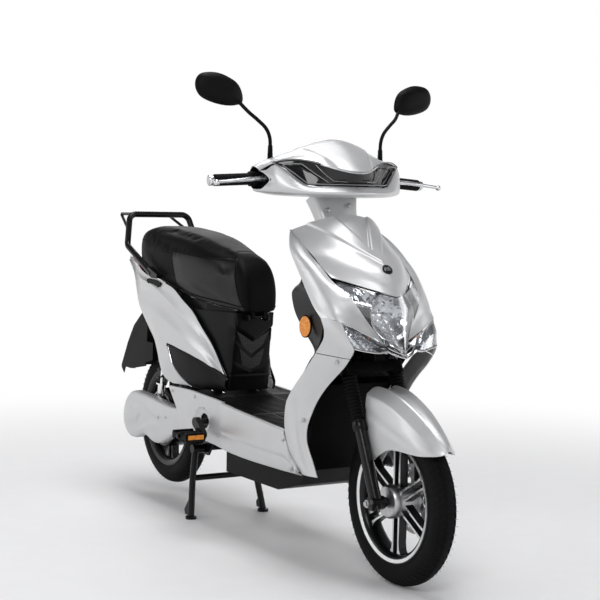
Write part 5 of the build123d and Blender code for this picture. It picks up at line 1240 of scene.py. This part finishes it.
# ---------------------------------------------------------------- chain cover
cover_outline = closed_curve([(940, 346), (985, 334), (1040, 327), (1095, 329), (1148, 333), (1220, 340),
                              (1275, 343),
                              (1325, 345), (1368, 334), (1400, 306), (1418, 270), (1417, 236), (1398,
                                      206), (1366, 190),
                              (1325, 190), (1292, 203), (1262, 211), (1232, 206), (1200, 197), (1165, 195),
                              (1130, 204), (1090, 220), (1055, 236), (1020, 250), (980, 256), (940, 258)], 8)
cover_spine = np.array([(np.clip(b, 985, 1345), 296 - (np.clip(b, 985, 1345) - 985) * 0.085) for b,
                        z in cover_outline])
pentagon = np.array([(1392, 265), (1352, 302), (1297, 299), (1274, 279), (1311, 247), (1374, 236)])


def inside_distance(point, polygon):
    """How far inside a convex polygon the point lies; negative outside."""
    centre = polygon.mean(axis=0)
    best = 1e9
    for a, b in zip(polygon, np.roll(polygon, -1, axis=0)):
        normal = np.array((-(b - a)[1], (b - a)[0]))
        normal = normal / np.linalg.norm(normal)
        normal = normal * np.sign(np.dot(normal, centre - a))
        best = min(best, np.dot(normal, point - a))
    return best


def line_distance(point, line):
    best = 1e9
    for a, b in zip(line[:-1], line[1:]):
        a, b = np.array(a), np.array(b)
        t = np.clip(np.dot(point - a, b - a) / np.dot(b - a, b - a), 0, 1)
        best = min(best, np.linalg.norm(point - a - t * (b - a)))
    return best


RIDGES = ([(1398, 300), (1350, 326), (1270, 318), (1190, 292), (1130, 282)],
          [(1408, 232), (1350, 206), (1270, 224), (1200, 250), (1130, 262)])
cover_rings = [[at((-103, b, z)) for b, z in cover_outline], [at((-122, b, z)) for b, z in cover_outline]]
for s, x in ((0.02, -126.5), (0.06, -129.5), (0.12, -131.4), (0.2, -132.3), (0.3, -132.8), (0.42, -133.1),
             (0.55, -133.3),
             (0.68, -133.4), (0.8, -133.4), (0.9, -133.4), (0.99, -133.4)):
    ring_points = []
    for edge, middle in zip(cover_outline, cover_spine):
        spot = edge + (middle - edge) * s
        lift = 2.6 * smooth_step(inside_distance(spot, pentagon), -1.5, 1.5)
        for ridge in RIDGES:
            lift = max(lift, 2.2 * np.exp(-(line_distance(spot, ridge) / 7) ** 2) * smooth_step(s, 0.05, 0.2))
        lift = max(lift, 2.4 * (1 - smooth_step(np.linalg.norm(spot - (1139, 282)), 13, 17)))
        ring_points.append(at((x - float(lift), *spot)))
    cover_rings.append(ring_points)
cover_shell = rings(cover_rings)
piece("chain_cover_shell", [cover_shell], PAINT, "rear_arm", ["chain_cover"], bevel=0)
piece("chain_cover_screws", [screw((-135, 1139, 282), (-1, 0, 0), 6),
                             screw((-133, 1089, 288), (-1, 0, 0), 3)], STEEL, "rear_arm", bevel=0)

# ---------------------------------------------------------------- pedals
for side_name, inner in (("right", -256), ("left", 190)):
    pivot = np.array(JOINTS[side_name + "_pedal_spin"]["pos_m"])
    middle = written(pivot)
    pedal_parts = [lathe([(6.2, 1), (12, 1), (12, 65), (6.2, 65)], at((inner, middle[1], middle[2])), X_AXIS,
                         28)]
    for direction in (-1, 1):
        for k in range(9):
            start = inner + 2 + k * 7.1
            body_teeth = [(a + middle[1], b + middle[2]) for a, b in
                          ([(direction * 31, -12.6), (direction * 42, -12.6), (direction * 45.6, -9),
                            (direction * 45.6, 9),
                            (direction * 42, 12.6), (direction * 31, 12.6)])]
            pedal_parts.append(side_plate(body_teeth, start, 4.6))
        beam = [(direction * 30, -9), (direction * 44, -9), (direction * 44, 9), (direction * 30, 9)]
        pedal_parts.append(side_plate([(a + middle[1], b + middle[2]) for a, b in beam], inner + 1, 64))
    for start in (inner + 0.4, inner + 60):
        bridge = [(-44, -7), (44, -7), (44, 7), (-44, 7)]
        pedal_parts.append(side_plate([(a + middle[1], b + middle[2]) for a, b in bridge], start, 5.6,
                                      [circle(6.3, (middle[1], middle[2]), 24)]))
    piece(side_name + "_pedal_block", pedal_parts, BLACK, side_name + "_pedal", ["pedal_" + side_name],
          bevel=0.5)
    reflectors = []
    for direction in (-1, 1):
        window = [(inner + 8, -6.5), (inner + 58, -6.5), (inner + 58, 6.5), (inner + 8, 6.5)]
        start = middle[1] + direction * 45.9 + (0.9 if direction < 0 else -0.9)
        reflectors.append(plate(window, at((0, start + 0.7, middle[2])), X_AXIS, (0, 0, 1), 1.4))
    piece(side_name + "_pedal_reflectors", reflectors, AMBER, side_name + "_pedal", bevel=0.3)

# ---------------------------------------------------------------- shock springs, mudguard and plate holder
SHOCK_DOWN = unit((0, 0.130938, -0.991391))
for side, spring_name in ((-1, "spring_right"), (1, "spring_left")):
    top = at((side * 82.5, 1190, 640))
    turns, low, high = 9, 30.5, 258.5
    helix = []
    for k in range(turns * 28 + 1):
        t = k / (turns * 28)
        angle = tau * turns * t
        v = np.cross(SHOCK_DOWN, X_AXIS)
        rise = low + (high - low) * (t + 0.02 * sin(tau * t))
        helix.append(top + MM * (15 * (X_AXIS * cos(angle) + v * sin(angle)) + rise * SHOCK_DOWN))
    spring = piece(spring_name, [sweep(helix, 2.8 * MM, 8)], DARK_ALLOY, "shock_upper", ["shock_springs"],
                   bevel=0)
    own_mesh(spring)

guard_line = curve([(1330, 690), (1360, 648), (1392, 612), (1432, 578), (1480, 548), (1510, 518), (1530, 486),
                    (1560, 440), (1583, 397)], 3)
guard_rows = []
for b, z in guard_line:
    guard_rows.append([(-66, b - 26, z - 22), (-66, b - 10, z - 8), (-62, b - 2, z - 2), (-34, b, z),
                       (0, b, z + 0.6),
                       (34, b, z), (62, b - 2, z - 2), (66, b - 10, z - 8), (66, b - 26, z - 22)])
guard_grid = surface(guard_rows, 1, 5)
walls = [(1330, 688), (1366, 640), (1392, 609), (1480, 545), (1528, 484), (1580, 398), (1500, 396),
         (1384, 416), (1372, 560),
         (1318, 640)]
plate_box = [(1330, 498), (1440, 500), (1505, 492), (1528, 480), (1562, 400), (1478, 398), (1420, 420),
             (1330, 442)]
guard_parts = [skin(guard_grid[::-1], 2.5), side_plate(walls, -66, 3), side_plate(walls, 63, 3)]
guard_parts += both(side_plate(plate_box, -66.5, 5))
piece("mudguard_skin", guard_parts, BLACK, BODY, ["rear_mudguard"])

# ---------------------------------------------------------------- seat
SEAT_SECTIONS = [
    # behind, half width, bottom height, top height
    (728, 44, 642, 668), (733, 54, 640.5, 712), (745, 61, 640, 752), (765, 65, 641, 784), (795, 70, 642, 804),
    (835, 81, 645, 812), (880, 95, 650, 822), (940, 106, 657, 838), (1000, 112, 665, 853), (1080, 114, 680,
            865),
    (1150, 115, 694, 872), (1230, 113, 709, 878), (1300, 108, 723, 880), (1350, 101, 737, 878), (1380, 93,
            748, 870),
    (1390, 84, 756, 860),
]
SEAT_SHAPE = [
    # share of the half width, share of the height, going round from the middle of the underside
    (0.0, 0.0), (0.5, 0.0), (0.84, 0.01), (0.93, 0.06), (0.975, 0.2), (0.99, 0.4), (0.99, 0.6), (0.955, 0.78),
    (0.87, 0.9), (0.72, 0.965), (0.45, 0.995), (0.0, 1.0),
]


def cushion_shape(shrink):
    loops = []
    for behind, half, low, high in SEAT_SECTIONS:
        run = [(-(half - shrink) * across, behind, low + shrink + (high - low - 2 * shrink) * rise)
               for across, rise in SEAT_SHAPE]
        run += [(-x, b, z) for x, b, z in run[-2:0:-1]]
        loops.append(run)
    return rings([at(closed_curve(loop, 2)) for loop in curve(np.array(loops), 2)])


def puffed(name, part, material_list, voxel, pressure, cap):
    """A cushion: remeshed, blown up gently by the cloth solver, with a limit on how far a point may move."""
    obj = piece(name, [part], material_list[0], "seat", ["seat_cushion"], bevel=0)
    for extra in material_list[1:]:
        obj.data.materials.append(extra)
    bpy.context.view_layer.objects.active = obj
    remesh = obj.modifiers.new("remesh", "REMESH")
    remesh.mode = "VOXEL"
    remesh.voxel_size = voxel
    settle(obj)
    start = np.array([v.co for v in obj.data.vertices])
    cloth = obj.modifiers.new("cloth", "CLOTH")
    cloth.settings.quality = 6
    cloth.settings.mass = 0.3
    cloth.settings.tension_stiffness = 25
    cloth.settings.compression_stiffness = 25
    cloth.settings.bending_stiffness = 2
    cloth.settings.use_pressure = True
    cloth.settings.uniform_pressure_force = pressure
    cloth.settings.effector_weights.gravity = 0
    pinned = obj.vertex_groups.new(name="underside")
    low = [v.index for v in obj.data.vertices if v.co.z < float(underside(v.co.y)) + 0.012]
    pinned.add(low, 1.0, "REPLACE")
    cloth.settings.vertex_group_mass = "underside"
    for step in range(1, 21):
        bpy.context.scene.frame_set(step)
    settle(obj)
    bpy.context.scene.frame_set(1)
    moved = np.array([v.co for v in obj.data.vertices]) - start
    length = np.linalg.norm(moved, axis=1, keepdims=True)
    moved = moved * np.minimum(1.0, cap / np.maximum(length, 1e-9))
    for vertex, place in zip(obj.data.vertices, start + moved):
        vertex.co = place
    smooth = obj.modifiers.new("smooth", "SMOOTH")
    smooth.factor = 0.5
    smooth.iterations = 6
    fine = obj.modifiers.new("fine", "SUBSURF")
    fine.levels = fine.render_levels = 1
    settle(obj)
    obj.data.shade_smooth()
    return obj


def underside(y):
    rows = np.array(SEAT_SECTIONS)
    return np.interp((y - FRONT_AXLE[1]) / MM, rows[:, 0], rows[:, 2]) * MM


def settle(obj):
    """Apply the modifiers of an object to its mesh."""
    evaluated = obj.evaluated_get(bpy.context.evaluated_depsgraph_get())
    mesh = bpy.data.meshes.new_from_object(evaluated)
    old = obj.data
    obj.modifiers.clear()
    obj.data = mesh
    bpy.data.meshes.remove(old)


seat = puffed("seat_cover", cushion_shape(3.0), [VINYL, LEATHER], 0.005, 4.0, 0.006)

# seam routes, right half: up the front corner, back along the shoulder, down the side behind the rider's knee
FRONT_SEAM = [(-60, 744, 656), (-66, 762, 700), (-67, 778, 748), (-64, 788, 780), (-58, 800, 797)]
TOP_SEAM = [(-58, 800, 797), (-72, 840, 797), (-88, 895, 796), (-100, 950, 798), (-107, 1010, 802),
            (-110, 1090, 808),
            (-110, 1170, 816), (-107, 1250, 826), (-100, 1330, 836), (-88, 1384, 838)]
CROSS_SEAM = [(-58, 800, 797), (-46, 822, 806), (-24, 842, 812), (0, 850, 814), (24, 842, 812),
              (46, 822, 806),
              (58, 800, 797)]
REAR_SEAM = [(-110, 1100, 808), (-114, 1094, 780), (-115, 1080, 740), (-114, 1068, 700), (-100, 1062, 688)]
HEM = [(-44, 731, 660), (-60, 748, 656), (-66, 790, 660), (-80, 850, 668), (-95, 910, 674), (-107, 980, 682),
       (-113, 1050, 692),
       (-114, 1150, 710), (-110, 1250, 726), (-104, 1330, 742), (-92, 1382, 756)]
seat_tree = BVHTree.FromObject(seat, bpy.context.evaluated_depsgraph_get())


def on_seat(points, lift=0.0, steps=10):
    """A curve laid on the surface of the seat, in metres, with the surface normals."""
    route, normals = [], []
    for point in at(curve(points, steps)):
        found, normal, _, _ = seat_tree.find_nearest(Vector(point))
        route.append(np.array(found) + np.array(normal) * lift * MM)
        normals.append(np.array(normal))
    return np.array(route), np.array(normals)


def stitches(points, offset, pitch=7.0, length=4.0, radius=0.55):
    """A row of raised stitches beside a seam, offset sideways along the surface in millimetres."""
    route, normals = on_seat(points, 0.2, 24)
    lengths = np.concatenate([[0], np.cumsum(np.linalg.norm(np.diff(route, axis=0), axis=1))]) / MM
    found = []
    for start in np.arange(pitch, lengths[-1] - pitch, pitch):
        ends = []
        for distance in (start, start + length):
            k = min(np.searchsorted(lengths, distance), len(route) - 1)
            along = unit(route[min(k + 1, len(route) - 1)] - route[max(k - 1, 0)])
            aside = np.cross(normals[k], along)
            spot, normal, _, _ = seat_tree.find_nearest(Vector(route[k] + aside * offset * MM))
            ends.append(np.array(spot) + np.array(normal) * 0.1 * MM)
        found.append(sweep(ends, radius * MM, 6))
    return found


piping, thread = [], []
for seam, radius in ((FRONT_SEAM, 1.7), (TOP_SEAM, 1.7), (REAR_SEAM, 1.3), (HEM, 2.3)):
    piping += both(sweep(on_seat(seam, -0.3)[0], radius * MM, 10))
piping.append(sweep(on_seat(CROSS_SEAM, -0.3)[0], 1.5 * MM, 10))
for seam in (FRONT_SEAM, TOP_SEAM, REAR_SEAM):
    for offset in (-4.5, 4.5):
        for stitch in stitches(seam, offset):
            thread += both(stitch)
piece("seat_piping", piping, VINYL, "seat", bevel=0)
piece("seat_stitching", thread, THREAD, "seat", bevel=0)
for polygon in seat.data.polygons:
    centre = written(polygon.center)
    x, behind, height = abs(centre[0]), centre[1], centre[2]
    top = np.interp(behind, [p[1] for p in TOP_SEAM], [p[2] for p in TOP_SEAM])
    rear = np.interp(height, [688, 700, 740, 780, 808], [1062, 1068, 1080, 1094, 1100])
    front = np.interp(height, [656, 700, 748, 780, 797], [744, 762, 778, 788, 800])
    polygon.material_index = int(front < behind < rear and height < top)

# ---------------------------------------------------------------- stage, light and camera
BACKDROP = (1.0, 1.0, 1.0, 1)
floor_mesh = bpy.data.meshes.new("floor")
floor_mesh.from_pydata([(-30, -30, 0), (30, -30, 0), (30, 30, 0), (-30, 30, 0)], [], [(0, 1, 2, 3)])
floor = bpy.data.objects.new("floor", floor_mesh)
bpy.context.scene.collection.objects.link(floor)
floor_paint = material("floor_paint", (0.86, 0.86, 0.865), 0.55, mottle=0.01, specular=0.2)
floor.data.materials.append(floor_paint)
floor_nodes, floor_links = floor_paint.node_tree.nodes, floor_paint.node_tree.links
far_glow = floor_nodes.new("ShaderNodeEmission")
far_glow.inputs["Color"].default_value = BACKDROP
floor_place = floor_nodes.new("ShaderNodeTexCoord")
floor_reach = floor_nodes.new("ShaderNodeVectorMath")
floor_reach.operation = "LENGTH"
floor_fade = floor_nodes.new("ShaderNodeMapRange")
floor_fade.interpolation_type = "SMOOTHSTEP"
floor_fade.inputs["From Min"].default_value = 0.9
floor_fade.inputs["From Max"].default_value = 3.2
floor_mix = floor_nodes.new("ShaderNodeMixShader")
floor_links.new(floor_place.outputs["Object"], floor_reach.inputs[0])
floor_links.new(floor_reach.outputs["Value"], floor_fade.inputs["Value"])
floor_links.new(floor_fade.outputs["Result"], floor_mix.inputs["Fac"])
floor_links.new(floor_nodes["Principled BSDF"].outputs["BSDF"], floor_mix.inputs[1])
floor_links.new(far_glow.outputs["Emission"], floor_mix.inputs[2])
floor_links.new(floor_mix.outputs["Shader"], floor_nodes["Material Output"].inputs["Surface"])

world = bpy.data.worlds.new("studio")
bpy.context.scene.world = world
world.use_nodes = True
world_nodes, world_links = world.node_tree.nodes, world.node_tree.links
sky = world_nodes["Background"]
sky.inputs["Strength"].default_value = 1.0
sky_place = world_nodes.new("ShaderNodeTexCoord")
sky_split = world_nodes.new("ShaderNodeSeparateXYZ")
sky_ramp = world_nodes.new("ShaderNodeValToRGB")
sky_ramp.color_ramp.elements[0].position = 0.16
sky_ramp.color_ramp.elements[0].color = BACKDROP
sky_ramp.color_ramp.elements[1].position = 0.42
sky_ramp.color_ramp.elements[1].color = (0.2, 0.2, 0.21, 1)
world_links.new(sky_place.outputs["Generated"], sky_split.inputs["Vector"])
world_links.new(sky_split.outputs["Z"], sky_ramp.inputs["Fac"])
world_links.new(sky_ramp.outputs["Color"], sky.inputs["Color"])


def softbox(name, place, target, width, height, power):
    light = bpy.data.lights.new(name, "AREA")
    light.shape = "RECTANGLE"
    light.size, light.size_y = width, height
    light.energy = power
    lamp = bpy.data.objects.new(name, light)
    lamp.location = place
    lamp.rotation_euler = (Vector(target) - Vector(place)).to_track_quat("-Z", "Y").to_euler()
    bpy.context.scene.collection.objects.link(lamp)


softbox("key_light", (-2.6, -3.4, 3.2), (0, 0, 0.7), 1.8, 1.2, 48)
softbox("side_light", (-3.8, 1.2, 2.2), (0, 0, 0.6), 1.0, 2.0, 25)
softbox("fill_light", (3.4, -2.6, 2.0), (0, 0, 0.7), 1.6, 1.6, 18)
softbox("top_light", (0, 0.0, 4.0), (0, 0, 0), 1.4, 3.2, 90)
softbox("rim_light", (1.8, 3.6, 2.6), (0, 0, 0.7), 2.0, 1.0, 25)

camera_data = bpy.data.cameras.new("camera")
camera_data.lens = 87.8
camera_data.sensor_width = 36.0
camera = bpy.data.objects.new("camera", camera_data)
camera.location = (-2.1303, FRONT_AXLE[1] - 3.0145, 0.9713)
YAW, PITCH, ROLL = 0.5436, 0.0674, 0.0187
forward = Vector((sin(YAW) * cos(PITCH), cos(YAW) * cos(PITCH), -sin(PITCH)))
level_right = Vector((cos(YAW), -sin(YAW), 0))
level_up = level_right.cross(forward)
right = level_right * cos(ROLL) + level_up * sin(ROLL)
up = level_up * cos(ROLL) - level_right * sin(ROLL)
camera.rotation_euler = Matrix((right, up, -forward)).transposed().to_euler()
bpy.context.scene.collection.objects.link(camera)
bpy.context.scene.camera = camera
bpy.context.scene.view_settings.view_transform = "Standard"
